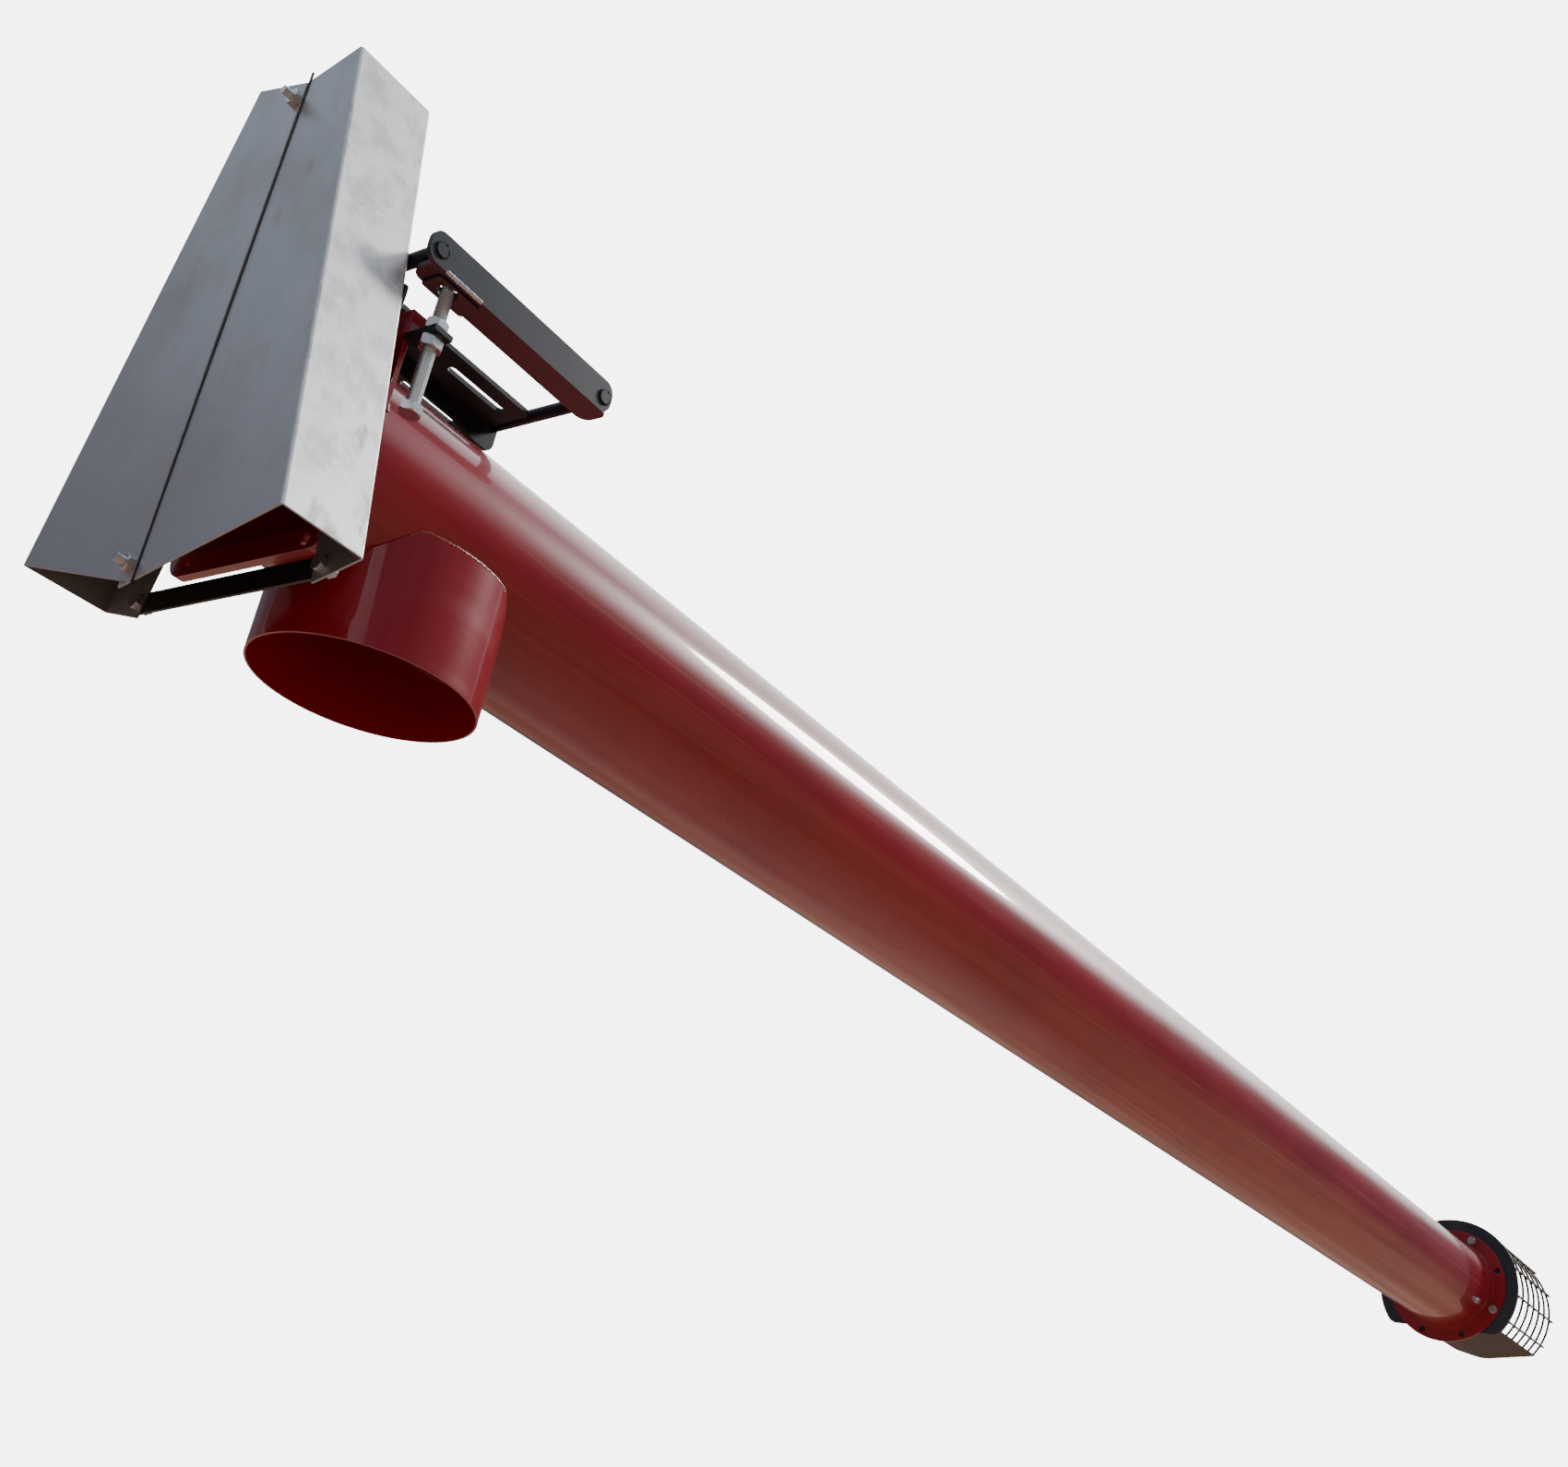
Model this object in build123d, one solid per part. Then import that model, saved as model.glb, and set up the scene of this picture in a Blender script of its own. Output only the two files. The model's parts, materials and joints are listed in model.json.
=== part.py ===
from build123d import *
import os
from math import cos, hypot, radians, sin, tan

# Grain auger: a long round tube with a screw inside, a wire-caged intake at the tail and a
# belt-drive guard, a discharge spout and a tilting motor mount at the head.
# Millimetres. The origin is the centre of the spout's open rim, +X runs along the tube towards
# the head and +Z points away from the spout's mouth, so the tube's axis is above the origin.

# ---- driving dimensions: tube and spout ----
TUBE_OD = 203.2
TUBE_R = TUBE_OD / 2
TUBE_WALL = 2.7
AXIS_Z = TUBE_R + 61.9
TUBE_LENGTH = 3519.6
SPOUT_OD = TUBE_OD + 6.8
SPOUT_WALL = 2.0
SPOUT_SIZED_L = 60.0
SPOUT_UPPER_OD = SPOUT_OD - 1.3
SPOUT_MOUTH_D = TUBE_OD - 19.2
SPOUT_TOP_Z = -46.0 * TUBE_R / 101.6
HEAD_X = 143.6
TUBE_TAIL_X = HEAD_X - TUBE_LENGTH

# ---- head plate and bearing ----
HEAD_PLATE_T = 6.0
HEAD_PLATE_BOTTOM_HALF_W = TUBE_R + 10.4
HEAD_PLATE_TOP_HALF_W = TUBE_R - 9.6
HEAD_PLATE_Z = (-TUBE_R - 20.4, TUBE_R + 20.4)
HEAD_PLATE_CORNER_R = 20.0
HEAD_SHAFT_HOLE_D = 40.0
HEAD_BAR_H = 23.0
HEAD_BAR_T = 3.0
HEAD_BAR_HOLE_D = 12.0
HEAD_BAR_HOLE_Y = TUBE_R - 17.9
HEAD_BAR_HOLE_Z = -TUBE_R - 10.4
HEAD_BOLT_HOLE_D = 12.5
BEARING_SQUARE = 117.0
BEARING_FLANGE_T = 15.0
BEARING_BOSS_D = 88.0
BEARING_BOSS_T = 33.0
BEARING_BOLT_PITCH = 92.0
BEARING_BORE_D = 62.0
BEARING_CLEARANCE = 0.05
BEARING_BOLT_AF = 18.0
BEARING_BOLT_HEAD_T = 8.0
BEARING_NUT_T = 10.0
BEARING_CORNER_R = 14.0
BEARING_COLLAR_W = 9.0

# ---- screw ----
FLIGHT_OD = TUBE_OD - 19.2
FLIGHT_T = 4.0
FLIGHT_HEAD_X = 60.0
FLIGHT_TURNS = round((FLIGHT_HEAD_X - TUBE_TAIL_X + 164.0) / 200.0)
FLIGHT_PITCH = (FLIGHT_HEAD_X - TUBE_TAIL_X + 164.0) / FLIGHT_TURNS
FLIGHTS_OPEN = 2
PIPE_OD = 48.3
PIPE_WALL = 3.7
STUB_D = 31.75
STUB_GRIP = 120.0
STUB_BOLT_D = 9.5
HEAD_STUB_BOLTS = (36.0, 72.0)
TAIL_STUB_BOLTS = (36.0, 90.0)
TAIL_X = TUBE_TAIL_X - 264.0

# ---- belt drive ----
SHEAVE_OD = 178.0
SHEAVE_W = 44.5
SHEAVE_GAP = 5.0
SHEAVE_GROOVES = 2
GROOVE_PITCH = 19.0
GROOVE_TOP_W = 17.0
GROOVE_BOTTOM_W = 9.0
GROOVE_DEPTH = 13.0
SHEAVE_WEB_T = 10.0
SHEAVE_RIM_T = 8.0
SHEAVE_HUB_W = 10.0
SHEAVE_HOLE_D = 22.0
SHEAVE_BUSH_D = 68.0
KEY_W = 8.0
KEY_LENGTH = 40.0

# ---- belt guard ----
GUARD_DEPTH = 83.7
GUARD_FRONT_X = HEAD_X + 13.7 + GUARD_DEPTH
GUARD_T = 1.9
GUARD_BOTTOM_HALF_W = TUBE_R + 78.5
GUARD_BOTTOM_Z = -TUBE_R - 47.3
GUARD_WEB = 483.0
GUARD_TAPER_DEG = 13.14
GUARD_RETURN = 59.8
GUARD_LAP = (6.5, 12.0)
GUARD_BEND_R = 3.0
GUARD_STUD_D = 8.0
GUARD_NUT_AF = 13.0
GUARD_NUT_T = 6.5
GUARD_HEAD_T = 5.0
GUARD_STUD_FRONT = 15.0
GUARD_STUD_REAR = 10.0
GUARD_STUD_Z = (-TUBE_R - 74.4, TUBE_R + 184.4)
STRAP_H = 20.5
STRAP_T = 3.0
STRAP_LOW_Z = -TUBE_R - 45.2
STRAP_HIGH_Z = TUBE_R + 16.4
STRAP_BOLT_INSET = (9.6, 42.0)
STRAP_END = (9.0, 19.0)
STANDOFF_Y = 30.0
STANDOFF_Z = TUBE_R + 11.4
STANDOFF_OD = 16.0

# ---- motor mount ----
ROD_Z = TUBE_R + 58.4
RAIL_LEG = 31.0
RAIL_T = 5.0
RAIL_LENGTH = 232.2
RAIL_X = 46.2
RAIL_FACE_Y = TUBE_R + 39.6
RAIL_BOTTOM_Z = ROD_Z - 14.7
RAIL_CORNER_R = 12.0
RAIL_HEEL_R = 8.0
RAIL_FLOOR_W = 32.0
RAIL_FLOOR_GAP = 3.7
ROD_D = 12.7
ROD_X = (-60.8, 149.6)
PLATE_X = (-48.6, 151.6)
PLATE_Y = (-57.0, 57.0)
PLATE_T = 5.1
SLOT_W = 10.2
SLOT_L = 72.2
SLOT_X = (0.7, 108.0)
SLOT_Y = (-33.5, 33.5)
RIB_T = 5.1
RIB_X = (-66.0, 109.0)
RIB_BOTTOM_Z = ROD_Z - 23.0
RIB_EAR_BOTTOM_Z = ROD_Z - 29.0
RIB_EAR_L = 26.0
RIB_CORNER_R = 10.0
RIB_Y = -7.6
RIB_EAR_TOP_Z = ROD_Z + 6.0
HINGE_Y = -TUBE_R - 15.2
HINGE_BARREL_D = 25.4
HINGE_BARREL_L = ROD_D + 0.3
HINGE_PIN_D = 12.7
HINGE_CLEARANCE = 0.06
EAR_T = 6.0
EAR_BOSS_D = 30.0
EAR_FOOT_DEG = (108.0, 146.0)

# ---- tensioning jack ----
JACK_X = 121.6
JACK_Y = RAIL_FACE_Y - 17.4
JACK_D = 12.7
JACK_HEAD_Z = 20.0
JACK_HEAD_AF = 19.0
JACK_HEAD_T = 8.5
JACK_TOP_Z = ROD_Z + 12.0
JACK_HOLE_D = 19.0
JACK_CLEARANCE = 0.06
NUT_T = 11.0
END_NUT_T = 7.7
END_NUT_GAP = 2.5
LUG_X = (112.0, 132.3)
LUG_NEAR_Y = JACK_Y + 14.2
LUG_Z = ROD_Z - 64.5
LUG_T = 5.1
POST_X = 126.2
POST_T = 5.1
POST_NEAR_Y = JACK_Y - 25.2
POST_FAR_Y = 46.0
POST_FOOT_Z = 10.0
POST_TOP_Z = LUG_Z + 30.5
PATCH_T = 3.0
PATCH_SIZE = (48.0, 26.0)
PATCH_SHIFT = -4.6

# ---- intake ----
FLANGE_OD = TUBE_OD + 64.6
FLANGE_T = 6.0
COLLAR_OD = TUBE_OD + 10.8
COLLAR_L = 28.0
FLANGE_PCD = TUBE_OD + 36.8
FLANGE_HOLE_D = 14.0
FLANGE_HOLES = 8
FLANGE_BOLT_ANGLES = (67.5, -22.5, 112.5, 202.5)
FLANGE_BOLT_D = 12.0
FLANGE_HEAD_AF = 16.0
FLANGE_HEAD_T = 7.0
FLANGE_NUT_AF = 18.0
FLANGE_NUT_T = 10.0
WASHER_T = 2.5
PLATE_OD = FLANGE_OD + 53.6
PLATE_FLAT_Z = -TUBE_R - 1.4
INTAKE_PLATE_T = 5.0
PLATE_CORNER_R = 25.0
TRAY_T = 3.0
TRAY_LENGTH = 316.0
CAGE_R = PLATE_OD / 2 - 8.3
TRAY_POINTS = [(y * CAGE_R / 152.4, z * CAGE_R / 152.4) for y, z in
               ((130.0, -93.5), (10.0, -116.5), (-66.0, -101.0), (-116.0, -56.0), (-143.0, -51.0))]
TRAY_BEND_R = (90.0, 60.0, 25.0)
HOOP_END = 330.0
WIRE_D = 5.0
HOOP_COUNT = 7
HOOP_PITCH = 50.8
HOOP_ANGLES = (-36.0, 198.0)
BAR_COUNT = 10
BAR_PITCH_DEG = 24.0
BAR_FIRST_DEG = -25.0
BAR_OVERHANG = 11.0
HANGER_W = 40.0
HANGER_T = 8.0
HANGER_LOW_Z = -125.0 * CAGE_R / 152.4
BUSH_OD = 50.0
BUSH_L = 40.0
BUSH_CLEARANCE = 0.08
TUBE_STUD_D = 10.0
TUBE_STUD_L = 8.0
TUBE_STUD_HEAD_T = 5.5
TUBE_STUD_X = TUBE_TAIL_X + 86.0
TUBE_STUD_DEG = -24.0

tube_r = TUBE_R
tube_in = tube_r - TUBE_WALL
tail_end_x = TUBE_TAIL_X
os.makedirs("parts", exist_ok=True)


def rod_x(radius, x0, x1, y=0.0, z=0.0):
    """Round bar along X about a line at (y, z) measured from the tube's axis."""
    return Pos(x0, y, AXIS_Z + z) * Rot(0, 90, 0) * Cylinder(radius, x1 - x0, align=BASE)


def rod_y(radius, y0, y1, x, z):
    return Pos(x, y0, AXIS_Z + z) * Rot(-90, 0, 0) * Cylinder(radius, y1 - y0, align=BASE)


def rod_z(radius, z0, z1, x, y):
    return Pos(x, y, AXIS_Z + z0) * Cylinder(radius, z1 - z0, align=BASE)


def block(x0, x1, y0, y1, z0, z1):
    """Box between two corners, z measured from the tube's axis."""
    return Pos(x0, y0, AXIS_Z + z0) * Box(x1 - x0, y1 - y0, z1 - z0, align=CORNER)


def slab_x(face, x0, x1):
    """A sketch drawn as (y, z), z from the tube's axis, made solid between two x places."""
    plane = Plane(origin=(x0, 0, AXIS_Z), x_dir=(0, 1, 0), z_dir=(1, 0, 0))
    return extrude(plane * face, x1 - x0, dir=(1, 0, 0))


def slab_y(face, y0, y1):
    """A sketch drawn as (x, z), z from the tube's axis, made solid between two y places."""
    plane = Plane(origin=(0, y0, AXIS_Z), x_dir=(1, 0, 0), z_dir=(0, -1, 0))
    return extrude(plane * face, y1 - y0, dir=(0, 1, 0))


def hex_x(across, x0, x1, y, z, turn=0.0):
    shape = Rot(0, 0, turn) * RegularPolygon(across / 2, 6, major_radius=False)
    return slab_x(Pos(y, z) * shape, x0, x1)


def hex_z(across, z0, z1, x, y):
    return Pos(x, y, AXIS_Z + z0) * extrude(RegularPolygon(across / 2, 6, major_radius=False), z1 - z0)


def save(name, shape):
    """Writes a node; a list becomes a group of separate solids."""
    if isinstance(shape, (list, tuple)):
        solids = [s for item in shape for s in item.solids()]
        shape = Compound(children=solids)
    shape.label = name
    export_step(shape, f"parts/{name}.step")


BASE = (Align.CENTER, Align.CENTER, Align.MIN)
CORNER = (Align.MIN, Align.MIN, Align.MIN)


# ---- tube, spout and head ----
def make_tube():
    tube = rod_x(tube_r, tail_end_x, HEAD_X) - rod_x(tube_in, tail_end_x - 1, HEAD_X + 1)
    return tube - rod_z(SPOUT_MOUTH_D / 2, -tube_r - 1, 0, 0, 0)


def make_spout():
    """The lower end is sized true for a slip-on downspout; the saddle above is a little under size."""
    ring = rod_z(SPOUT_UPPER_OD / 2, -AXIS_Z, SPOUT_TOP_Z, 0, 0)
    ring += rod_z(SPOUT_OD / 2, -AXIS_Z, SPOUT_SIZED_L - AXIS_Z, 0, 0)
    ring -= rod_z(SPOUT_OD / 2 - SPOUT_WALL, -AXIS_Z - 1, 1, 0, 0)
    return ring - rod_x(tube_r, -SPOUT_OD, SPOUT_OD)


def make_spout_lip():
    """Closes the gap between the tube and the spout's wall where that wall is cut off level."""
    top = SPOUT_TOP_Z
    lip = rod_z(SPOUT_UPPER_OD / 2, top, top + SPOUT_WALL, 0, 0)
    return lip - rod_x(tube_r, -SPOUT_OD, SPOUT_OD)


plate_front_x = HEAD_X + HEAD_PLATE_T
head_bar_top = HEAD_PLATE_Z[0] + HEAD_BAR_H


def head_plate_face():
    low, high = HEAD_PLATE_Z
    face = Polygon((-HEAD_PLATE_BOTTOM_HALF_W, low), (HEAD_PLATE_BOTTOM_HALF_W, low),
                   (HEAD_PLATE_TOP_HALF_W, high), (-HEAD_PLATE_TOP_HALF_W, high), align=None)
    return fillet(face.vertices(), HEAD_PLATE_CORNER_R)


def make_head_plate():
    plate = slab_x(head_plate_face(), HEAD_X, plate_front_x)
    plate -= rod_x(HEAD_SHAFT_HOLE_D / 2, HEAD_X - 1, plate_front_x + 1)
    for y, z in bearing_bolt_places:
        plate -= rod_x(HEAD_BOLT_HOLE_D / 2, HEAD_X - 1, plate_front_x + 1, y, z)
    for side in (-1, 1):
        plate -= rod_x(HEAD_BAR_HOLE_D / 2, HEAD_X - 1, plate_front_x + 1,
                       side * HEAD_BAR_HOLE_Y, HEAD_BAR_HOLE_Z)
        plate -= rod_x(GUARD_STUD_D / 2, HEAD_X - 1, plate_front_x + 1, side * STANDOFF_Y, STANDOFF_Z)
    return plate


def make_head_bar():
    """Flat bar welded across the foot of the head plate, with the two lifting holes."""
    low = HEAD_PLATE_Z[0]
    strip = Pos(0, low + HEAD_BAR_H / 2) * Rectangle(3 * HEAD_PLATE_BOTTOM_HALF_W, HEAD_BAR_H)
    bar = slab_x(head_plate_face() & strip, plate_front_x, plate_front_x + HEAD_BAR_T)
    for side in (-1, 1):
        bar -= rod_x(HEAD_BAR_HOLE_D / 2, HEAD_X, plate_front_x + HEAD_BAR_T + 1,
                     side * HEAD_BAR_HOLE_Y, HEAD_BAR_HOLE_Z)
    return bar


bearing_bolt_places = [(sy * BEARING_BOLT_PITCH / 2, sz * BEARING_BOLT_PITCH / 2)
                       for sy in (-1, 1) for sz in (-1, 1)]
boss_x = plate_front_x + BEARING_BOSS_T


def make_bearing_housing():
    face = RectangleRounded(BEARING_SQUARE, BEARING_SQUARE, BEARING_CORNER_R)
    body = slab_x(face, plate_front_x, plate_front_x + BEARING_FLANGE_T)
    body += rod_x(BEARING_BOSS_D / 2, plate_front_x, boss_x)
    body -= rod_x(BEARING_BORE_D / 2, plate_front_x - 1, boss_x + 1)
    for y, z in bearing_bolt_places:
        body -= rod_x(HEAD_BOLT_HOLE_D / 2, plate_front_x - 1, boss_x + 1, y, z)
    return body


def make_bearing_bolts():
    bolts = []
    shank = HEAD_BOLT_HOLE_D / 2 - 0.25
    front = plate_front_x + BEARING_FLANGE_T
    for y, z in bearing_bolt_places:
        bolt = rod_x(shank, HEAD_X - BEARING_NUT_T - 4, front + 1, y, z)
        bolt += hex_x(BEARING_BOLT_AF, front, front + BEARING_BOLT_HEAD_T, y, z)
        nut = hex_x(BEARING_BOLT_AF, HEAD_X - BEARING_NUT_T, HEAD_X, y, z)
        nut -= rod_x(shank, HEAD_X - BEARING_NUT_T - 1, HEAD_X + 1, y, z)
        bolts += [bolt, nut]
    return bolts


# ---- screw ----
pipe_r = PIPE_OD / 2
flight_tail_x = FLIGHT_HEAD_X - FLIGHT_TURNS * FLIGHT_PITCH
stub_head_end = GUARD_FRONT_X - GUARD_T - 6.0
pipe_head_x = FLIGHT_HEAD_X + 46.0
pipe_tail_x = flight_tail_x - 14.0


def make_pipe():
    pipe = rod_x(pipe_r, pipe_tail_x, pipe_head_x)
    pipe -= rod_x(pipe_r - PIPE_WALL, pipe_tail_x - 1, pipe_head_x + 1)
    for x in stub_bolt_places:
        pipe -= rod_y(STUB_BOLT_D / 2, -pipe_r - 1, pipe_r + 1, x, 0)
    return pipe


stub_bolt_places = ([pipe_head_x - inset for inset in HEAD_STUB_BOLTS]
                    + [pipe_tail_x + inset for inset in TAIL_STUB_BOLTS])


def make_flight_turn():
    """One formed flight: a blade that climbs one pitch in one turn about +Z."""
    path = Helix(FLIGHT_PITCH, FLIGHT_PITCH, FLIGHT_OD / 2)
    mid = (pipe_r + FLIGHT_OD / 2) / 2
    section = Plane.XZ * Pos(mid, 0) * Rectangle(FLIGHT_OD / 2 - pipe_r, FLIGHT_T)
    return sweep(section, path=path, is_frenet=True)


def make_flights(first, last):
    """The flights numbered first to last - 1, counted from the tail."""
    turn = Rot(0, 90, 0) * make_flight_turn()
    return [Pos(flight_tail_x + k * FLIGHT_PITCH, 0, AXIS_Z) * turn for k in range(first, last)]


def make_stub(inner_x, outer_x):
    """Turned bar: its fat end fills the pipe over the grip, its journal runs on to outer_x."""
    step_x = inner_x + STUB_GRIP if outer_x > inner_x else inner_x - STUB_GRIP
    core = rod_x(pipe_r - PIPE_WALL, *sorted((inner_x, step_x)))
    return core + rod_x(STUB_D / 2, *sorted((inner_x, outer_x)))


def make_head_stub():
    stub = make_stub(pipe_head_x - STUB_GRIP, stub_head_end)
    for x in stub_bolt_places[:2]:
        stub -= rod_y(STUB_BOLT_D / 2, -pipe_r, pipe_r, x, 0)
    return stub - key_block(0)


def make_tail_stub():
    stub = make_stub(pipe_tail_x + STUB_GRIP, TAIL_X)
    for x in stub_bolt_places[2:]:
        stub -= rod_y(STUB_BOLT_D / 2, -pipe_r, pipe_r, x, 0)
    return stub


def make_stub_bolts():
    bolts = []
    r = STUB_BOLT_D / 2
    for x in stub_bolt_places:
        bolt = rod_y(r, -pipe_r - 8, pipe_r + 1, x, 0)
        head = rod_y(r * 1.7, pipe_r, pipe_r + 5, x, 0)
        nut = rod_y(r * 1.7, -pipe_r - 6, -pipe_r, x, 0) - rod_y(r, -pipe_r - 7, -pipe_r + 1, x, 0)
        bolts += [bolt + head, nut]
    return bolts


# ---- belt drive ----
insert_r = BEARING_BORE_D / 2 - BEARING_CLEARANCE
sheave_x0 = boss_x + SHEAVE_GAP
sheave_x1 = sheave_x0 + SHEAVE_W
key_mid_x = (sheave_x0 + sheave_x1) / 2


def key_block(slack):
    half = KEY_W / 2
    return block(key_mid_x - KEY_LENGTH / 2, key_mid_x + KEY_LENGTH / 2, -half - slack, half + slack,
                 STUB_D / 2 - half, STUB_D / 2 + half)


def make_bearing_insert():
    insert = rod_x(insert_r, plate_front_x + 3, boss_x - 3)
    insert += rod_x(STUB_D / 2 + BEARING_COLLAR_W, boss_x - 4, boss_x + SHEAVE_GAP - 1)
    return insert - rod_x(STUB_D / 2, plate_front_x, boss_x + SHEAVE_GAP)


def make_sheave():
    outer = SHEAVE_OD / 2
    bush = SHEAVE_BUSH_D / 2
    ring = rod_x(outer, sheave_x0, sheave_x1)
    for k in range(SHEAVE_GROOVES):
        mid = key_mid_x + (k - (SHEAVE_GROOVES - 1) / 2) * GROOVE_PITCH
        groove = Polygon((mid - GROOVE_TOP_W / 2, outer + 1), (mid + GROOVE_TOP_W / 2, outer + 1),
                         (mid + GROOVE_BOTTOM_W / 2, outer - GROOVE_DEPTH),
                         (mid - GROOVE_BOTTOM_W / 2, outer - GROOVE_DEPTH), align=None)
        spin_axis = Axis((0, 0, AXIS_Z), (1, 0, 0))
        plane = Plane(origin=(0, 0, AXIS_Z), x_dir=(1, 0, 0), z_dir=(0, -1, 0))
        ring -= revolve(plane * groove, axis=spin_axis, revolution_arc=360)
    web_half = SHEAVE_WEB_T / 2
    pocket = (rod_x(outer - GROOVE_DEPTH - SHEAVE_RIM_T, sheave_x0, sheave_x1)
              - rod_x(bush + SHEAVE_HUB_W, sheave_x0 - 1, sheave_x1 + 1))
    ring -= pocket - rod_x(outer, key_mid_x - web_half, key_mid_x + web_half)
    for k in range(4):
        a = radians(45 + 90 * k)
        hole_r = (outer + bush) / 2 - 6
        ring -= rod_x(SHEAVE_HOLE_D / 2, sheave_x0, sheave_x1, hole_r * cos(a), hole_r * sin(a))
    return ring - rod_x(bush, sheave_x0 - 1, sheave_x1 + 1)


def make_sheave_bush():
    bush = rod_x(SHEAVE_BUSH_D / 2, sheave_x0, sheave_x1) - rod_x(STUB_D / 2, sheave_x0 - 1, sheave_x1 + 1)
    for k in range(3):
        a = radians(90 + 120 * k)
        r = (SHEAVE_BUSH_D + STUB_D) / 4
        if k:
            bush -= rod_x(4, sheave_x1 - 12, sheave_x1 + 1, r * cos(a), r * sin(a))
    return bush - key_block(0)


# ---- belt guard ----
taper = radians(GUARD_TAPER_DEG)
along = (-sin(taper), cos(taper))
across = (-cos(taper), -sin(taper))
guard_rear_x = GUARD_FRONT_X - GUARD_DEPTH


def guard_point(web, inward):
    """Place on a guard half, by distance up its web from the bottom corner and inward from it."""
    return (GUARD_BOTTOM_HALF_W + along[0] * web + across[0] * inward,
            GUARD_BOTTOM_Z + along[1] * web + across[1] * inward)


def guard_seam_z(web, y):
    """Height where the guard's top or bottom edge, square to the web, reaches a given y."""
    start = guard_point(web, 0)
    return start[1] - (start[0] - y) * tan(taper)


def make_guard_half(side, lap, front_x):
    """A folded U: front panel to the seam, side web and rear return, before its holes."""
    low, high = guard_point(0, 0), guard_point(GUARD_WEB, 0)
    seam = ((-lap, guard_seam_z(GUARD_WEB, -lap)), (-lap, guard_seam_z(0, -lap)))
    front = Polygon(low, high, *seam, align=None)
    shell = slab_x(front, front_x - GUARD_T, front_x)
    web = Polygon(low, high, guard_point(GUARD_WEB, GUARD_T), guard_point(0, GUARD_T), align=None)
    shell += slab_x(web, guard_rear_x, front_x)
    rear = Polygon(low, high, guard_point(GUARD_WEB, GUARD_RETURN), guard_point(0, GUARD_RETURN), align=None)
    shell += slab_x(rear, guard_rear_x, guard_rear_x + GUARD_T)
    corners = [e for e in shell.edges().filter_by(GeomType.LINE)
               if abs(e.length - GUARD_WEB) < 0.5 and corner_edge(e, front_x)]
    shell = fillet(corners, GUARD_BEND_R)
    for z in GUARD_STUD_Z:
        shell -= rod_x(GUARD_STUD_D / 2, front_x - GUARD_T - 1, front_x + 1, 0, z)
    for y, z in guard_strap_places:
        shell -= rod_x(GUARD_STUD_D / 2, guard_rear_x - 1, guard_rear_x + GUARD_T + 1, y, z)
    return shell if side > 0 else mirror(shell, about=Plane.XZ)


def corner_edge(edge, front_x):
    mid = edge @ 0.5
    place = guard_point(GUARD_WEB / 2, 0)
    near = hypot(mid.Y - place[0], mid.Z - AXIS_Z - place[1]) < 1
    return near and (abs(mid.X - front_x) < 0.01 or abs(mid.X - guard_rear_x) < 0.01)


def strap_bolt_y(z, inset):
    """The strap's bolt stands a set inset outboard of the rear return's inner edge."""
    web = (z - guard_point(0, GUARD_RETURN)[1]) / along[1]
    return guard_point(web, GUARD_RETURN)[0] + inset


strap_z = (STRAP_LOW_Z, STRAP_HIGH_Z)
guard_strap_places = [(strap_bolt_y(z, inset), z) for z, inset in zip(strap_z, STRAP_BOLT_INSET)]


def make_strap(index):
    bolt_y, z = guard_strap_places[index]
    reach = bolt_y + STRAP_END[index]
    face = Pos(0, z) * RectangleRounded(2 * reach, STRAP_H, 5)
    strap = slab_x(face, guard_rear_x - STRAP_T, guard_rear_x)
    places = [(bolt_y, z)] + ([(STANDOFF_Y, STANDOFF_Z)] if index else [])
    for y, hole_z in places:
        for side in (-1, 1):
            strap -= rod_x(GUARD_STUD_D / 2, guard_rear_x - STRAP_T - 1, guard_rear_x + 1, side * y, hole_z)
    return strap


def make_guard_studs():
    r = GUARD_STUD_D / 2
    inner = GUARD_FRONT_X - 2 * GUARD_T
    studs = []
    for z in GUARD_STUD_Z:
        stud = rod_x(r, inner - GUARD_HEAD_T, GUARD_FRONT_X + GUARD_STUD_FRONT, 0, z)
        studs.append(stud + hex_x(GUARD_NUT_AF, inner - GUARD_HEAD_T, inner, 0, z))
    for y, z in guard_strap_places:
        for side in (-1, 1):
            face = guard_rear_x + GUARD_T
            stud = rod_x(r, guard_rear_x - STRAP_T - GUARD_STUD_REAR, face + 1, side * y, z)
            studs.append(stud + hex_x(GUARD_NUT_AF, face, face + GUARD_HEAD_T, side * y, z))
    for side in (-1, 1):
        y = side * STANDOFF_Y
        stud = rod_x(r, HEAD_X - GUARD_NUT_T - 2.5, guard_rear_x + 1, y, STANDOFF_Z)
        studs.append(stud + hex_x(GUARD_NUT_AF, guard_rear_x, guard_rear_x + GUARD_HEAD_T, y, STANDOFF_Z))
    return studs


def guard_nut(x0, y, z, turn):
    nut = hex_x(GUARD_NUT_AF, x0, x0 + GUARD_NUT_T, y, z, turn)
    return nut - rod_x(GUARD_STUD_D / 2, x0 - 1, x0 + GUARD_NUT_T + 1, y, z)


def make_guard_nuts():
    nuts = [guard_nut(GUARD_FRONT_X, 0, z, 20) for z in GUARD_STUD_Z]
    back = guard_rear_x - STRAP_T
    for side in (-1, 1):
        nuts += [guard_nut(back - GUARD_NUT_T, side * y, z, 10) for y, z in guard_strap_places]
        nuts.append(guard_nut(HEAD_X - GUARD_NUT_T, side * STANDOFF_Y, STANDOFF_Z, 0))
    return nuts


def make_standoffs():
    tubes = []
    for side in (-1, 1):
        y = side * STANDOFF_Y
        tube = rod_x(STANDOFF_OD / 2, plate_front_x, guard_rear_x - STRAP_T, y, STANDOFF_Z)
        tubes.append(tube - rod_x(GUARD_STUD_D / 2, HEAD_X, guard_rear_x, y, STANDOFF_Z))
    return tubes


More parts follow.
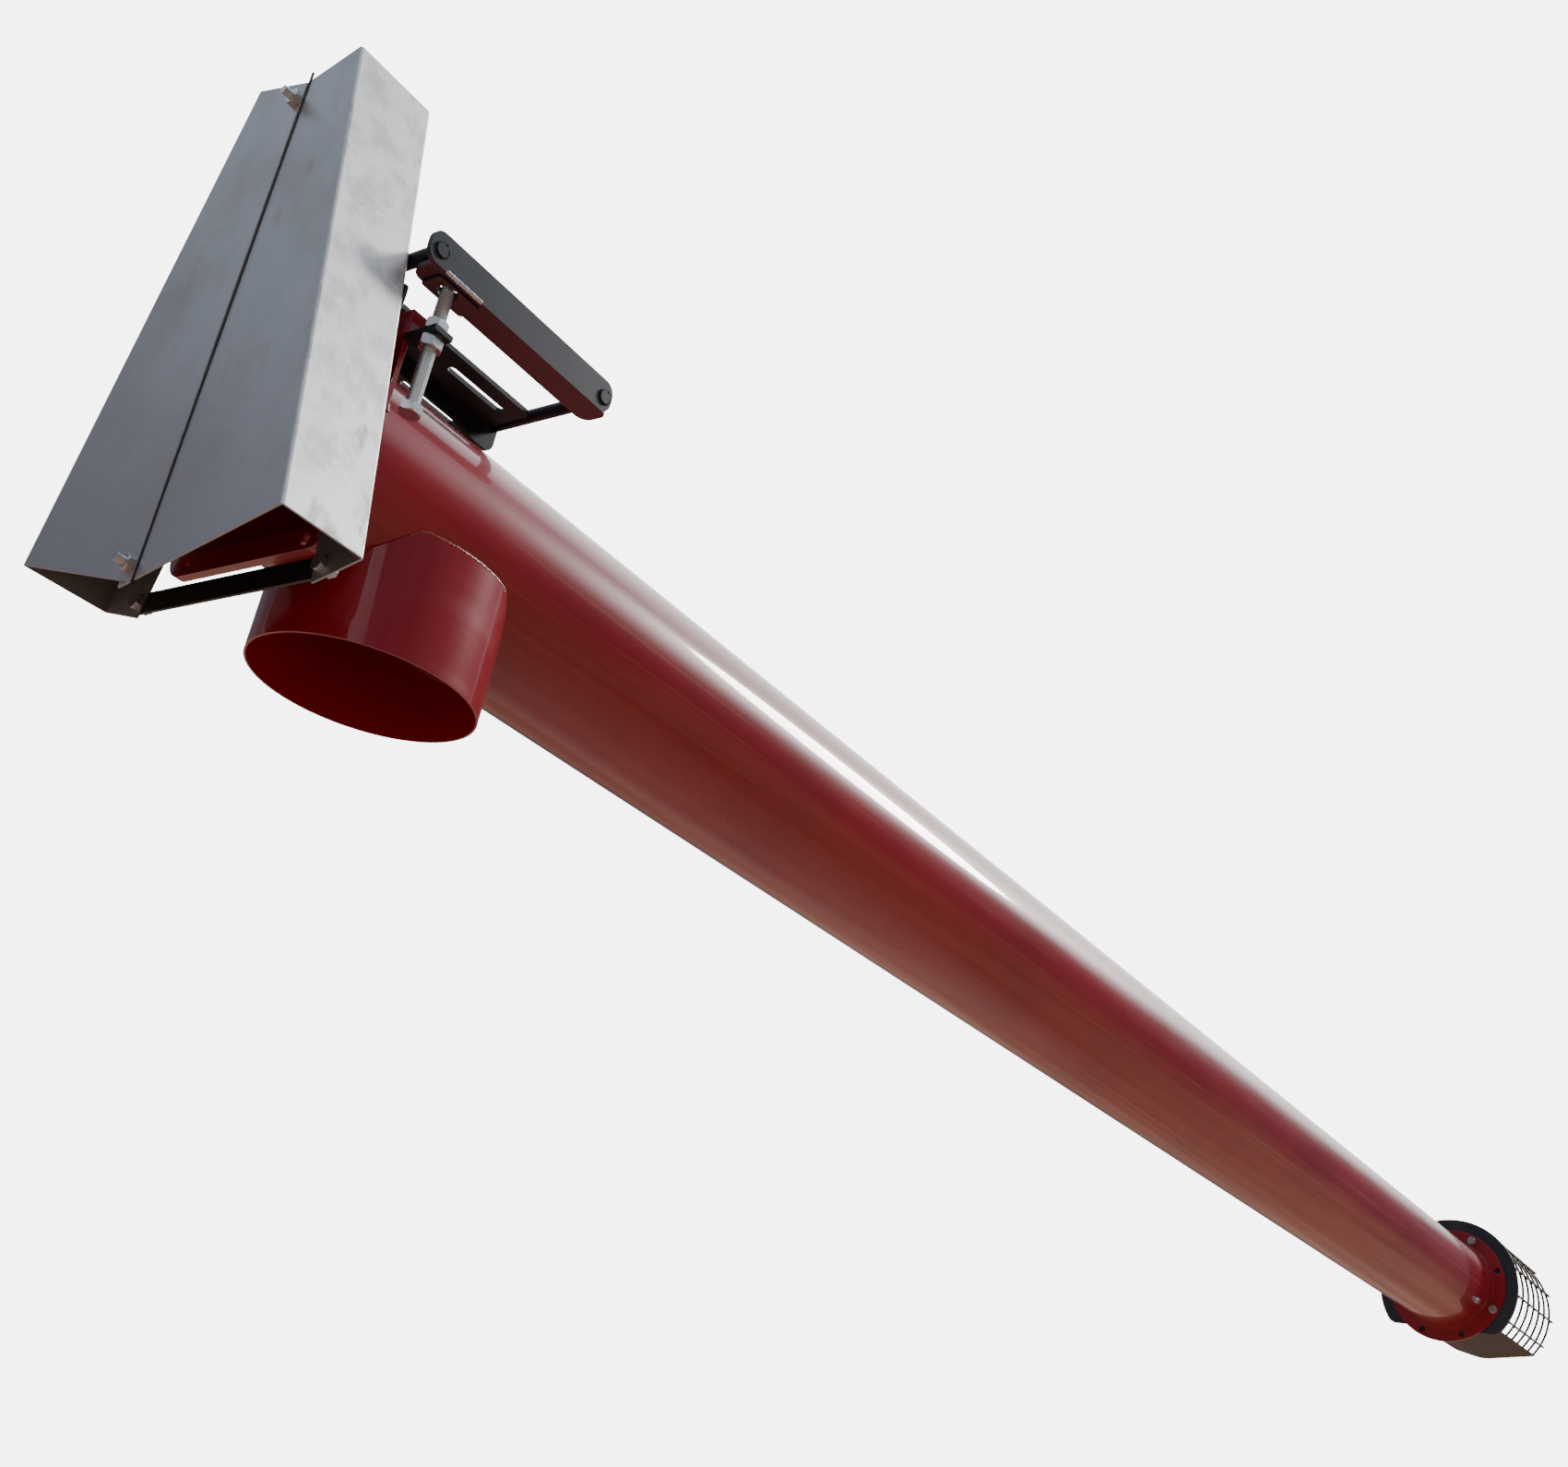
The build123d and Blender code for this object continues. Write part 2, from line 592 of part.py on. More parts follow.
# ---- motor mount ----
rail_x0 = RAIL_X - RAIL_LENGTH / 2
rail_x1 = RAIL_X + RAIL_LENGTH / 2
rod_r = ROD_D / 2
plate_top_z = ROD_Z - rod_r
plate_low_z = plate_top_z - PLATE_T


def make_near_rail():
    face = Pos(RAIL_X, RAIL_BOTTOM_Z + RAIL_LEG / 2) * RectangleRounded(RAIL_LENGTH, RAIL_LEG, RAIL_CORNER_R)
    rail = slab_y(face, RAIL_FACE_Y - RAIL_T, RAIL_FACE_Y)
    floor_x1 = guard_rear_x - RAIL_FLOOR_GAP
    floor = Pos((rail_x0 + floor_x1) / 2, RAIL_FACE_Y - RAIL_FLOOR_W / 2)
    floor *= Rectangle(floor_x1 - rail_x0, RAIL_FLOOR_W)
    floor = fillet(floor.vertices().group_by(Axis.Y)[0], RAIL_CORNER_R)
    outer = floor.vertices().filter_by(lambda v: v.Y > RAIL_FACE_Y - 1)
    floor = fillet(outer.group_by(Axis.X)[0], RAIL_HEEL_R)
    rail += Pos(0, 0, AXIS_Z + RAIL_BOTTOM_Z) * extrude(floor, RAIL_T)
    for x in ROD_X:
        rail -= rod_y(rod_r, RAIL_FACE_Y - RAIL_T - 1, RAIL_FACE_Y + 1, x, ROD_Z)
    return rail - rod_z(JACK_HOLE_D / 2, RAIL_BOTTOM_Z - 1, RAIL_BOTTOM_Z + RAIL_T + 1, JACK_X, JACK_Y)


def make_jack_patch():
    low = RAIL_BOTTOM_Z - PATCH_T
    face = Pos(JACK_X + PATCH_SHIFT, JACK_Y - 1.5) * RectangleRounded(PATCH_SIZE[0], PATCH_SIZE[1], 4)
    patch = Pos(0, 0, AXIS_Z + low) * extrude(face, PATCH_T)
    return patch - rod_z(JACK_HOLE_D / 2, low - 1, RAIL_BOTTOM_Z + 1, JACK_X, JACK_Y)


def make_cross_rods():
    barrel_y = HINGE_Y
    rods = []
    for x in ROD_X:
        rod = rod_y(rod_r, barrel_y, RAIL_FACE_Y + 1.5, x, ROD_Z)
        rods.append(rod - rod_x(HINGE_BARREL_D / 2, x - 40, x + 40, HINGE_Y, ROD_Z))
    return rods


def make_motor_plate():
    face = Pos(sum(PLATE_X) / 2, sum(PLATE_Y) / 2) * RectangleRounded(PLATE_X[1] - PLATE_X[0],
                                                                      PLATE_Y[1] - PLATE_Y[0], 6)
    for x in SLOT_X:
        for y in SLOT_Y:
            face -= Pos(x, y) * SlotOverall(SLOT_L, SLOT_W)
    return Pos(0, 0, AXIS_Z + plate_low_z) * extrude(face, PLATE_T)


def make_plate_rib():
    """Stiffening bar on edge under the plate; its end rises past the plate to the tail-side rod."""
    x0, x1 = RIB_X
    plate_x0 = PLATE_X[0]
    face = Polygon((x0, ROD_Z), (x0, RIB_EAR_BOTTOM_Z), (x0 + RIB_EAR_L, RIB_EAR_BOTTOM_Z),
                   (x0 + 2 * RIB_EAR_L, RIB_BOTTOM_Z), (x1, RIB_BOTTOM_Z), (x1, plate_low_z),
                   (plate_x0, plate_low_z), (plate_x0, RIB_EAR_TOP_Z), (ROD_X[0], RIB_EAR_TOP_Z), align=None)
    face = fillet(face.vertices().group_by(Axis.Y)[0].sort_by(Axis.X)[0], RIB_CORNER_R)
    rib = slab_y(face, RIB_Y - RIB_T, RIB_Y)
    return rib - rod_y(rod_r, RIB_Y - RIB_T - 1, RIB_Y + 1, ROD_X[0], ROD_Z)


barrel_x = [(x - HINGE_BARREL_L / 2, x + HINGE_BARREL_L / 2) for x in ROD_X]
ear_x = [barrel_x[0][1] + 1.0, barrel_x[1][0] - 1.0 - EAR_T]
pin_x = (barrel_x[0][0] - 3.0, barrel_x[1][1] + 0.9)


def make_hinge_barrels():
    bore = HINGE_PIN_D / 2 + HINGE_CLEARANCE
    return [rod_x(HINGE_BARREL_D / 2, x0, x1, HINGE_Y, ROD_Z) - rod_x(bore, x0 - 1, x1 + 1, HINGE_Y, ROD_Z)
            for x0, x1 in barrel_x]


def make_hinge_ears():
    boss = EAR_BOSS_D / 2
    foot = [(tube_r * 0.97 * cos(radians(a)), tube_r * 0.97 * sin(radians(a))) for a in EAR_FOOT_DEG]
    outline = Polygon((HINGE_Y - boss, ROD_Z), (HINGE_Y + boss, ROD_Z), *foot, align=None)
    ears = []
    for x in ear_x:
        ear = slab_x(outline, x, x + EAR_T) + rod_x(boss, x, x + EAR_T, HINGE_Y, ROD_Z)
        ear -= rod_x(tube_r, x - 1, x + EAR_T + 1)
        ears.append(ear - rod_x(HINGE_PIN_D / 2, x - 1, x + EAR_T + 1, HINGE_Y, ROD_Z))
    return ears


# ---- tensioning jack ----
def make_jack_post():
    """Plate standing on the tube with a rib along its near edge, which carries the lug."""
    outline = Polygon((POST_NEAR_Y, POST_FOOT_Z), (POST_NEAR_Y, POST_TOP_Z), (POST_FAR_Y, POST_TOP_Z),
                      (POST_FAR_Y, POST_FOOT_Z), align=None)
    post = slab_x(outline, POST_X, POST_X + POST_T)
    post += block(LUG_X[0], POST_X + 1, POST_NEAR_Y - POST_T, POST_NEAR_Y, LUG_Z + LUG_T, POST_TOP_Z)
    return post - rod_x(tube_r, POST_X - 1, POST_X + POST_T + 1)


def make_lug():
    lug = block(LUG_X[0], LUG_X[1], POST_NEAR_Y, LUG_NEAR_Y, LUG_Z, LUG_Z + LUG_T)
    return lug - rod_z(JACK_D / 2 + 0.4, LUG_Z - 1, LUG_Z + LUG_T + 1, JACK_X, JACK_Y)


def make_lug_nuts():
    bore = JACK_D / 2 + JACK_CLEARANCE
    nuts = []
    for z0 in (LUG_Z - NUT_T, LUG_Z + LUG_T):
        nuts.append(hex_z(JACK_HEAD_AF, z0, z0 + NUT_T, JACK_X, JACK_Y)
                    - rod_z(bore, z0 - 1, z0 + NUT_T + 1, JACK_X, JACK_Y))
    return nuts


def make_jack_bolt():
    head_top = JACK_HEAD_Z + JACK_HEAD_T
    return (hex_z(JACK_HEAD_AF, JACK_HEAD_Z, head_top, JACK_X, JACK_Y)
            + rod_z(JACK_D / 2, head_top - 1, JACK_TOP_Z, JACK_X, JACK_Y))


def make_jack_end_nuts():
    nuts = []
    for k in range(2):
        z0 = RAIL_BOTTOM_Z + RAIL_T + END_NUT_GAP + k * END_NUT_T
        nuts.append(hex_z(JACK_HEAD_AF, z0, z0 + END_NUT_T, JACK_X, JACK_Y)
                    - rod_z(JACK_D / 2, z0 - 1, z0 + END_NUT_T + 1, JACK_X, JACK_Y))
    return nuts


# ---- intake ----
flange_front_x = tail_end_x + FLANGE_T
flange_back_x = tail_end_x
plate_back_x = flange_back_x - INTAKE_PLATE_T
hole_angles = [22.5 + 45 * k for k in range(FLANGE_HOLES)]


def pcd_place(angle, pcd):
    return pcd / 2 * cos(radians(angle)), pcd / 2 * sin(radians(angle))


def make_intake_flange():
    ring = rod_x(FLANGE_OD / 2, flange_back_x, flange_front_x)
    ring -= rod_x(tube_r, flange_back_x - 1, flange_front_x + 1)
    for angle in hole_angles:
        ring -= rod_x(FLANGE_HOLE_D / 2, flange_back_x - 1, flange_front_x + 1, *pcd_place(angle, FLANGE_PCD))
    return ring


def make_collar():
    return (rod_x(COLLAR_OD / 2, flange_front_x, flange_front_x + COLLAR_L)
            - rod_x(tube_r, flange_front_x - 1, flange_front_x + COLLAR_L + 1))


def make_intake_plate():
    face = Circle(PLATE_OD / 2) & Pos(0, PLATE_OD / 2 + PLATE_FLAT_Z) * Rectangle(PLATE_OD * 1.1, PLATE_OD)
    face = fillet(face.vertices(), PLATE_CORNER_R) - Circle(tube_in)
    for angle in FLANGE_BOLT_ANGLES:
        face -= Pos(*pcd_place(angle, FLANGE_PCD)) * Circle(FLANGE_BOLT_D / 2)
    return slab_x(face, plate_back_x, flange_back_x)


def make_flange_bolts():
    bolts = []
    r = FLANGE_BOLT_D / 2
    for angle in FLANGE_BOLT_ANGLES:
        y, z = pcd_place(angle, FLANGE_PCD)
        bolt = rod_x(r, plate_back_x - FLANGE_NUT_T - 4, flange_front_x + 1, y, z)
        bolt += rod_x(r * 1.65, flange_front_x, flange_front_x + WASHER_T, y, z)
        head_x = flange_front_x + WASHER_T
        bolts.append(bolt + hex_x(FLANGE_HEAD_AF, head_x, head_x + FLANGE_HEAD_T, y, z, angle))
    return bolts


def make_flange_nuts():
    nuts = []
    r = FLANGE_BOLT_D / 2
    for angle in FLANGE_BOLT_ANGLES:
        y, z = pcd_place(angle, FLANGE_PCD)
        nuts.append(hex_x(FLANGE_NUT_AF, plate_back_x - FLANGE_NUT_T, plate_back_x, y, z, angle)
                    - rod_x(r, plate_back_x - FLANGE_NUT_T - 1, plate_back_x + 1, y, z))
    return nuts


def make_tube_stud():
    a = radians(TUBE_STUD_DEG)
    stud = Cylinder(TUBE_STUD_D / 2, TUBE_STUD_L, align=BASE)
    stud += extrude(RegularPolygon(TUBE_STUD_D * 0.8, 6), TUBE_STUD_HEAD_T)
    place = Pos(TUBE_STUD_X, tube_r * cos(a), AXIS_Z + tube_r * sin(a))
    stud = place * Rot(TUBE_STUD_DEG, 0, 0) * Rot(-90, 0, 0) * stud
    return stud - rod_x(tube_r, TUBE_STUD_X - 20, TUBE_STUD_X + 20)


def tray_band():
    path = FilletPolyline(*TRAY_POINTS, radius=TRAY_BEND_R)
    return make_face(offset(path, TRAY_T / 2, side=Side.BOTH))


def make_tray():
    return slab_x(tray_band(), plate_back_x - TRAY_LENGTH, plate_back_x)


hoop_x = [plate_back_x - HOOP_END + k * HOOP_PITCH for k in range(HOOP_COUNT)]


def make_hoops():
    hoops = []
    start, end = HOOP_ANGLES
    for x in hoop_x:
        plane = Plane(origin=(x, 0, AXIS_Z), x_dir=(0, 1, 0), z_dir=(1, 0, 0))
        arc = plane * CenterArc((0, 0), CAGE_R, start, end - start)
        section = Plane(origin=arc @ 0, z_dir=arc % 0) * Circle(WIRE_D / 2)
        hoops.append(sweep(section, path=arc))
    return hoops


def make_bars():
    r = CAGE_R + WIRE_D
    bars = []
    for k in range(BAR_COUNT):
        a = radians(BAR_FIRST_DEG + k * BAR_PITCH_DEG)
        bars.append(rod_x(WIRE_D / 2, hoop_x[0] - BAR_OVERHANG, plate_back_x, r * cos(a), r * sin(a)))
    return bars


bush_x = (TAIL_X + 4, TAIL_X + 4 + BUSH_L)


def make_tail_hanger():
    """Post on the tray's floor with an eye that holds the tail bush."""
    mid = sum(bush_x) / 2
    eye = Circle(BUSH_OD / 2 + 6) + Pos(0, HANGER_LOW_Z / 2) * Rectangle(HANGER_W, -HANGER_LOW_Z)
    bar = slab_x(eye - Circle(BUSH_OD / 2), mid - HANGER_T / 2, mid + HANGER_T / 2)
    band = slab_x(tray_band(), mid - HANGER_T, mid + HANGER_T)
    return (bar - band).solids().sort_by(Axis.Z)[-1]


def make_tail_bush():
    x0, x1 = bush_x
    return rod_x(BUSH_OD / 2, x0, x1) - rod_x(STUB_D / 2 + BUSH_CLEARANCE, x0 - 1, x1 + 1)


save("auger_tube", make_tube())
save("discharge_spout", make_spout())
save("spout_lip", make_spout_lip())
save("head_plate", make_head_plate())
save("head_bar", make_head_bar())
save("head_bearing_housing", make_bearing_housing())
save("head_bearing_bolts", make_bearing_bolts())
save("guard_half_left", make_guard_half(-1, GUARD_LAP[0], GUARD_FRONT_X))
save("guard_half_right", make_guard_half(1, GUARD_LAP[1], GUARD_FRONT_X - GUARD_T))
save("guard_strap_lower", make_strap(0))
save("guard_strap_upper", make_strap(1))
save("guard_studs", make_guard_studs())
save("guard_nuts", make_guard_nuts())
save("guard_standoffs", make_standoffs())
save("jack_post", make_jack_post())
save("jack_lug", make_lug())
save("jack_lug_nuts", make_lug_nuts())
save("hinge_ears", make_hinge_ears())
save("hinge_pin", rod_x(HINGE_PIN_D / 2, *pin_x, HINGE_Y, ROD_Z))
save("intake_flange", make_intake_flange())
save("intake_collar", make_collar())
save("intake_plate", make_intake_plate())
save("flange_bolts", make_flange_bolts())
save("flange_nuts", make_flange_nuts())
save("tube_stud", make_tube_stud())
save("intake_tray", make_tray())
save("cage_hoops", make_hoops())
save("cage_bars", make_bars())
save("tail_hanger", make_tail_hanger())
save("tail_bush", make_tail_bush())
save("screw_pipe", make_pipe())
save("tail_flights", make_flights(0, FLIGHTS_OPEN))
save("middle_flights", make_flights(FLIGHTS_OPEN, FLIGHT_TURNS - FLIGHTS_OPEN))
save("head_flights", make_flights(FLIGHT_TURNS - FLIGHTS_OPEN, FLIGHT_TURNS))
save("head_stub_shaft", make_head_stub())
save("tail_stub_shaft", make_tail_stub())
save("stub_bolts", make_stub_bolts())
save("head_bearing_insert", make_bearing_insert())
save("drive_sheave", make_sheave())
save("sheave_bush", make_sheave_bush())
save("sheave_key", key_block(0))
save("near_rail", make_near_rail())
save("cross_rods", make_cross_rods())
save("motor_plate", make_motor_plate())
save("plate_rib", make_plate_rib())
save("jack_patch", make_jack_patch())
save("hinge_barrels", make_hinge_barrels())
save("jack_bolt", make_jack_bolt())
save("jack_end_nuts", make_jack_end_nuts())
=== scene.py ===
import json
import math
import random

import bmesh
import bpy
from mathutils import Matrix, Vector

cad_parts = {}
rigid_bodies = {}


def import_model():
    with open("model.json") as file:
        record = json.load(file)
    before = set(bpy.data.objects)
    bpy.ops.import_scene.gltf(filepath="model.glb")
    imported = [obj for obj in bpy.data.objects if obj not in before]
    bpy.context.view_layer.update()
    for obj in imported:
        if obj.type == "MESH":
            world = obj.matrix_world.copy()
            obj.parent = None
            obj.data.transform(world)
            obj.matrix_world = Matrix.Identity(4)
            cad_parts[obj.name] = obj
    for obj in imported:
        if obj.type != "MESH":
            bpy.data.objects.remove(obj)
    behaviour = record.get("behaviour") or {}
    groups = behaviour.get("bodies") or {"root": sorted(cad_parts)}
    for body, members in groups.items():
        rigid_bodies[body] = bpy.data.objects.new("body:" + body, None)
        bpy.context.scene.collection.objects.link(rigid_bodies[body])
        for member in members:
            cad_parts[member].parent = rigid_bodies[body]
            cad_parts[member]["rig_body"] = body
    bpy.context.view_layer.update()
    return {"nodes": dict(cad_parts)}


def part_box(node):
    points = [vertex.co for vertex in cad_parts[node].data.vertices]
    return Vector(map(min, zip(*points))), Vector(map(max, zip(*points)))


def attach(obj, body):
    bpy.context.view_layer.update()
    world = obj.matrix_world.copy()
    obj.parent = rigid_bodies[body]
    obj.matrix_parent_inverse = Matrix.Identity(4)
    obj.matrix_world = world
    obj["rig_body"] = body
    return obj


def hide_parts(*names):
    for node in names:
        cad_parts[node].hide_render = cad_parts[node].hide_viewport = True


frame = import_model()
random.seed(7)
print("frame loaded:", len(frame["nodes"]), "nodes")

# places that many pieces share, all read from the frame
tubeLow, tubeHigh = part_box("auger_tube")
axisZ = (tubeLow.z + tubeHigh.z) / 2
tubeR = (tubeHigh.z - tubeLow.z) / 2
spoutLow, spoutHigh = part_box("discharge_spout")
spoutR = (spoutHigh.x - spoutLow.x) / 2

cameraSetup = {
    "place": (0.8875, 1.2866, -0.5896),
    "turn": (105.988, -11.994, 124.687),    # degrees
    "lens": 40.33,
    "shift": (-0.0244, 0.1565),
}

lightSetup = {
    "backdrop": 7.5,            # what the camera sees behind the object, plain white
    "sky": 1.25,
    "zenith": (0.80, 0.88, 1.0),
    "horizon": (0.135, 0.145, 0.175),
    "earth": (0.50, 0.33, 0.25),
    "glowFrom": (-0.66, -0.36, 0.66),       # bright haze round this direction
    "glow": 2.0,
    "sunEnergy": 3.0,
    "sunTravel": (0.72, -0.30, -0.62),
    "sunAngle": 13.0,
    "sunColour": (1.0, 0.97, 0.92),
    "floorZ": -1.15,
    "floorMiddle": (-1.9, -0.5),
    "floorReach": 1.7,
    "floorColour": (0.40, 0.33, 0.27),
}


def makeCamera(setup):
    bpy.ops.object.camera_add(location=setup["place"], rotation=[math.radians(a) for a in setup["turn"]])
    camera = bpy.context.object
    camera.data.lens = setup["lens"]
    camera.data.shift_x, camera.data.shift_y = setup["shift"]
    camera.data.clip_end = 60.0
    bpy.context.scene.camera = camera


def makeLight(setup):
    # the camera sees plain white; reflections see a bright sky above a dark band and brown earth
    world = bpy.data.worlds.new("sky")
    bpy.context.scene.world = world
    world.use_nodes = True
    tree = world.node_tree
    lit = tree.nodes["Background"]
    lit.inputs["Strength"].default_value = setup["sky"]
    maths = Value(tree)
    look = maths.node("ShaderNodeTexCoord", {}, {})
    height = maths.node("ShaderNodeSeparateXYZ", {}, {"Vector": look}, out=2)
    bands = [(0.0, (*setup["earth"], 1)), (0.46, (*setup["earth"], 1)), (0.52, (*setup["horizon"], 1)),
             (0.715, (*setup["horizon"], 1)), (0.775, (*setup["zenith"], 1)), (1.0, (*setup["zenith"], 1))]
    tint = maths.node("ShaderNodeValToRGB", {"stops": bands}, {"Fac": height * 0.5 + 0.5})
    toGlow = maths.node("ShaderNodeVectorMath", {"operation": "DOT_PRODUCT"},
                        {0: look, 1: Vector(setup["glowFrom"]).normalized()}, out="Value")
    trees = maths.noise(maths.stretched(look, (7.0, 7.0, 1.5)), 1.0, 4.0, 0.6).clamp(0.35, 0.65)
    tint = maths.blend(trees, maths.blend(0.45, tint, colour(0, 0, 0)), tint)
    tint = maths.blend(toGlow.clamp(0.80, 0.97), tint, colour(setup["glow"], setup["glow"], setup["glow"]))
    tree.links.new(tint.socket, lit.inputs["Color"])
    plain = tree.nodes.new("ShaderNodeBackground")
    plain.inputs["Strength"].default_value = setup["backdrop"]
    seen = maths.node("ShaderNodeLightPath", {}, {}, out="Is Camera Ray")
    mixed = tree.nodes.new("ShaderNodeMixShader")
    tree.links.new(seen.socket, mixed.inputs[0])
    tree.links.new(lit.outputs[0], mixed.inputs[1])
    tree.links.new(plain.outputs[0], mixed.inputs[2])
    tree.links.new(mixed.outputs[0], tree.nodes["World Output"].inputs["Surface"])
    turn = Vector(setup["sunTravel"]).to_track_quat("-Z", "Y").to_euler()
    bpy.ops.object.light_add(type="SUN", rotation=turn)
    sun = bpy.context.object
    sun.data.energy = setup["sunEnergy"]
    sun.data.angle = math.radians(setup["sunAngle"])
    sun.data.color = setup["sunColour"]


class Value:
    # one socket of a material's tree; operators add Math nodes and node() adds any other
    def __init__(self, tree, socket=None):
        self.tree = tree
        self.socket = socket

    def node(self, kind, settings, inputs, out=0):
        made = self.tree.nodes.new(kind)
        for key, setting in settings.items():
            if key == "stops":
                fillRamp(made.color_ramp, setting)
            else:
                setattr(made, key, setting)
        for key, source in inputs.items():
            if isinstance(source, Value):
                self.tree.links.new(source.socket, made.inputs[key])
            else:
                made.inputs[key].default_value = source
        return Value(self.tree, made.outputs[out])

    def math(self, operation, first, second=0.0):
        return self.node("ShaderNodeMath", {"operation": operation}, {0: first, 1: second})

    def __add__(self, other):
        return self.math("ADD", self, other)

    __radd__ = __add__

    def __sub__(self, other):
        return self.math("SUBTRACT", self, other)

    def __rsub__(self, other):
        return self.math("SUBTRACT", other, self)

    def __mul__(self, other):
        return self.math("MULTIPLY", self, other)

    __rmul__ = __mul__

    def clamp(self, low, high):
        # 0 below low, 1 above high, smooth between
        return self.node("ShaderNodeMapRange", {"interpolation_type": "SMOOTHSTEP"},
                         {"Value": self, "From Min": low, "From Max": high})

    def noise(self, place, scale, detail=4.0, roughness=0.55):
        return self.node("ShaderNodeTexNoise", {}, {"Vector": place, "Scale": scale, "Detail": detail,
                                                    "Roughness": roughness})

    def blend(self, factor, first, second):
        return self.node("ShaderNodeMix", {"data_type": "RGBA"}, {0: factor, 6: first, 7: second}, out=2)

    def stretched(self, place, scale):
        return self.node("ShaderNodeMapping", {}, {"Vector": place, "Scale": scale})


def fillRamp(ramp, stops):
    while len(ramp.elements) > 1:
        ramp.elements.remove(ramp.elements[-1])
    ramp.elements[0].position, ramp.elements[0].color = stops[0]
    for position, colour in stops[1:]:
        ramp.elements.new(position).color = colour


def startFinish(name):
    # a new material, its shader and the object's own coordinates
    material = bpy.data.materials.new(name)
    material.use_nodes = True
    tree = material.node_tree
    shader = tree.nodes["Principled BSDF"]
    maths = Value(tree)
    place = maths.node("ShaderNodeTexCoord", {}, {}, out="Object")
    return material, shader, maths, place


def join(maths, source, shader, socket):
    maths.tree.links.new(source.socket, shader.inputs[socket])


def bumped(maths, height, strength, distance):
    return maths.node("ShaderNodeBump", {}, {"Height": height, "Strength": strength, "Distance": distance})


def colour(red, green, blue):
    return (red, green, blue, 1.0)


def redPaint(name, scuffs):
    # glossy machinery enamel with orange peel; the tube's own coat also has scuffs, dust and drag marks
    material, shader, maths, place = startFinish(name)
    cloud = maths.noise(place, 3.0).clamp(0.3, 0.7)
    base = maths.blend(cloud, colour(0.240, 0.0048, 0.0150), colour(0.310, 0.0080, 0.0190))
    peel = maths.noise(place, 420.0, 2.0)
    mist = maths.noise(maths.stretched(place, (1.5, 24.0, 24.0)), 1.0, 6.0, 0.65).clamp(0.42, 0.75)
    rough = mist * 0.16 + 0.30
    if scuffs:
        alongTube = maths.node("ShaderNodeSeparateXYZ", {}, {"Vector": place}, out=0)
        up = maths.node("ShaderNodeSeparateXYZ", {}, {"Vector": place}, out=2)
        farHalf = 1 - alongTube.clamp(-2.2, -0.7)
        upper = up.clamp(axisZ + 0.005, axisZ + 0.06)
        patches = maths.noise(maths.stretched(place, (7.0, 12.0, 12.0)), 1.0, 3.0).clamp(0.55, 0.70)
        hatch = maths.noise(maths.stretched(place, (230.0, 9.0, 9.0)), 1.0, 3.0).clamp(0.60, 0.70)
        scratch = patches * hatch * upper * (farHalf * 0.8 + 0.12)
        streak = maths.noise(maths.stretched(place, (0.9, 150.0, 150.0)), 1.0, 5.0, 0.7).clamp(0.56, 0.72)
        dust = streak * (farHalf * 0.6 + 0.22)
        base = maths.blend(dust * 0.75, base, colour(0.42, 0.20, 0.13))
        base = maths.blend(scratch * 0.9, base, colour(0.75, 0.50, 0.46))
        rough = rough + scratch * 0.3 + dust * 0.22
    join(maths, base, shader, "Base Color")
    join(maths, rough, shader, "Roughness")
    join(maths, bumped(maths, peel, 0.05, 0.0004), shader, "Normal")
    shader.inputs["Coat Weight"].default_value = 0.70
    shader.inputs["Coat Roughness"].default_value = 0.05
    shader.inputs["Specular IOR Level"].default_value = 0.25
    return material


def slatePaint(name, low, high, tubeReflectionBelow=False):
    # blue-black powder coat, fine texture, dust lying in patches; faces that look down get a painted
    # reflection of the red tube below them
    material, shader, maths, place = startFinish(name)
    cloud = maths.noise(place, 9.0).clamp(0.35, 0.7)
    grit = maths.noise(place, 900.0, 2.0)
    dust = maths.noise(place, 34.0, 6.0, 0.7).clamp(0.56, 0.78)
    base = maths.blend(cloud, low, high)
    base = maths.blend(dust * 0.35, base, colour(0.075, 0.08, 0.085))
    # painted reflection: down-facing faces tinted red as if mirroring the tube beneath
    if tubeReflectionBelow:
        facing = maths.node("ShaderNodeTexCoord", {}, {}, out="Normal")
        down = maths.node("ShaderNodeSeparateXYZ", {}, {"Vector": facing}, out=2) * -1
        base = maths.blend(down.clamp(0.5, 0.9) * 0.8, base, colour(0.150, 0.052, 0.064))
    join(maths, base, shader, "Base Color")
    join(maths, grit * 0.12 + dust * 0.15 + 0.38, shader, "Roughness")
    join(maths, bumped(maths, grit, 0.12, 0.0003), shader, "Normal")
    shader.inputs["Coat Weight"].default_value = 0.05
    shader.inputs["Coat Roughness"].default_value = 0.18
    shader.inputs["Specular IOR Level"].default_value = 0.2
    return material


def blackPaint():
    # thin black paint on mild steel, with lighter khaki flecks towards the open end of the tray
    material, shader, maths, place = startFinish("blackPaint")
    grit = maths.noise(place, 500.0, 3.0)
    alongTube = maths.node("ShaderNodeSeparateXYZ", {}, {"Vector": place}, out=0)
    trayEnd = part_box("intake_tray")[0].x
    end = 1 - alongTube.clamp(trayEnd + 0.01, trayEnd + 0.09)
    fleck = maths.noise(place, 130.0, 4.0, 0.7).clamp(0.42, 0.62)
    base = maths.blend(maths.noise(place, 14.0), colour(0.005, 0.005, 0.006), colour(0.014, 0.013, 0.013))
    base = maths.blend(end * fleck * 0.8, base, colour(0.23, 0.24, 0.13))
    join(maths, base, shader, "Base Color")
    join(maths, grit * 0.2 + end * 0.25 + 0.38, shader, "Roughness")
    join(maths, bumped(maths, grit, 0.15, 0.0003), shader, "Normal")
    return material


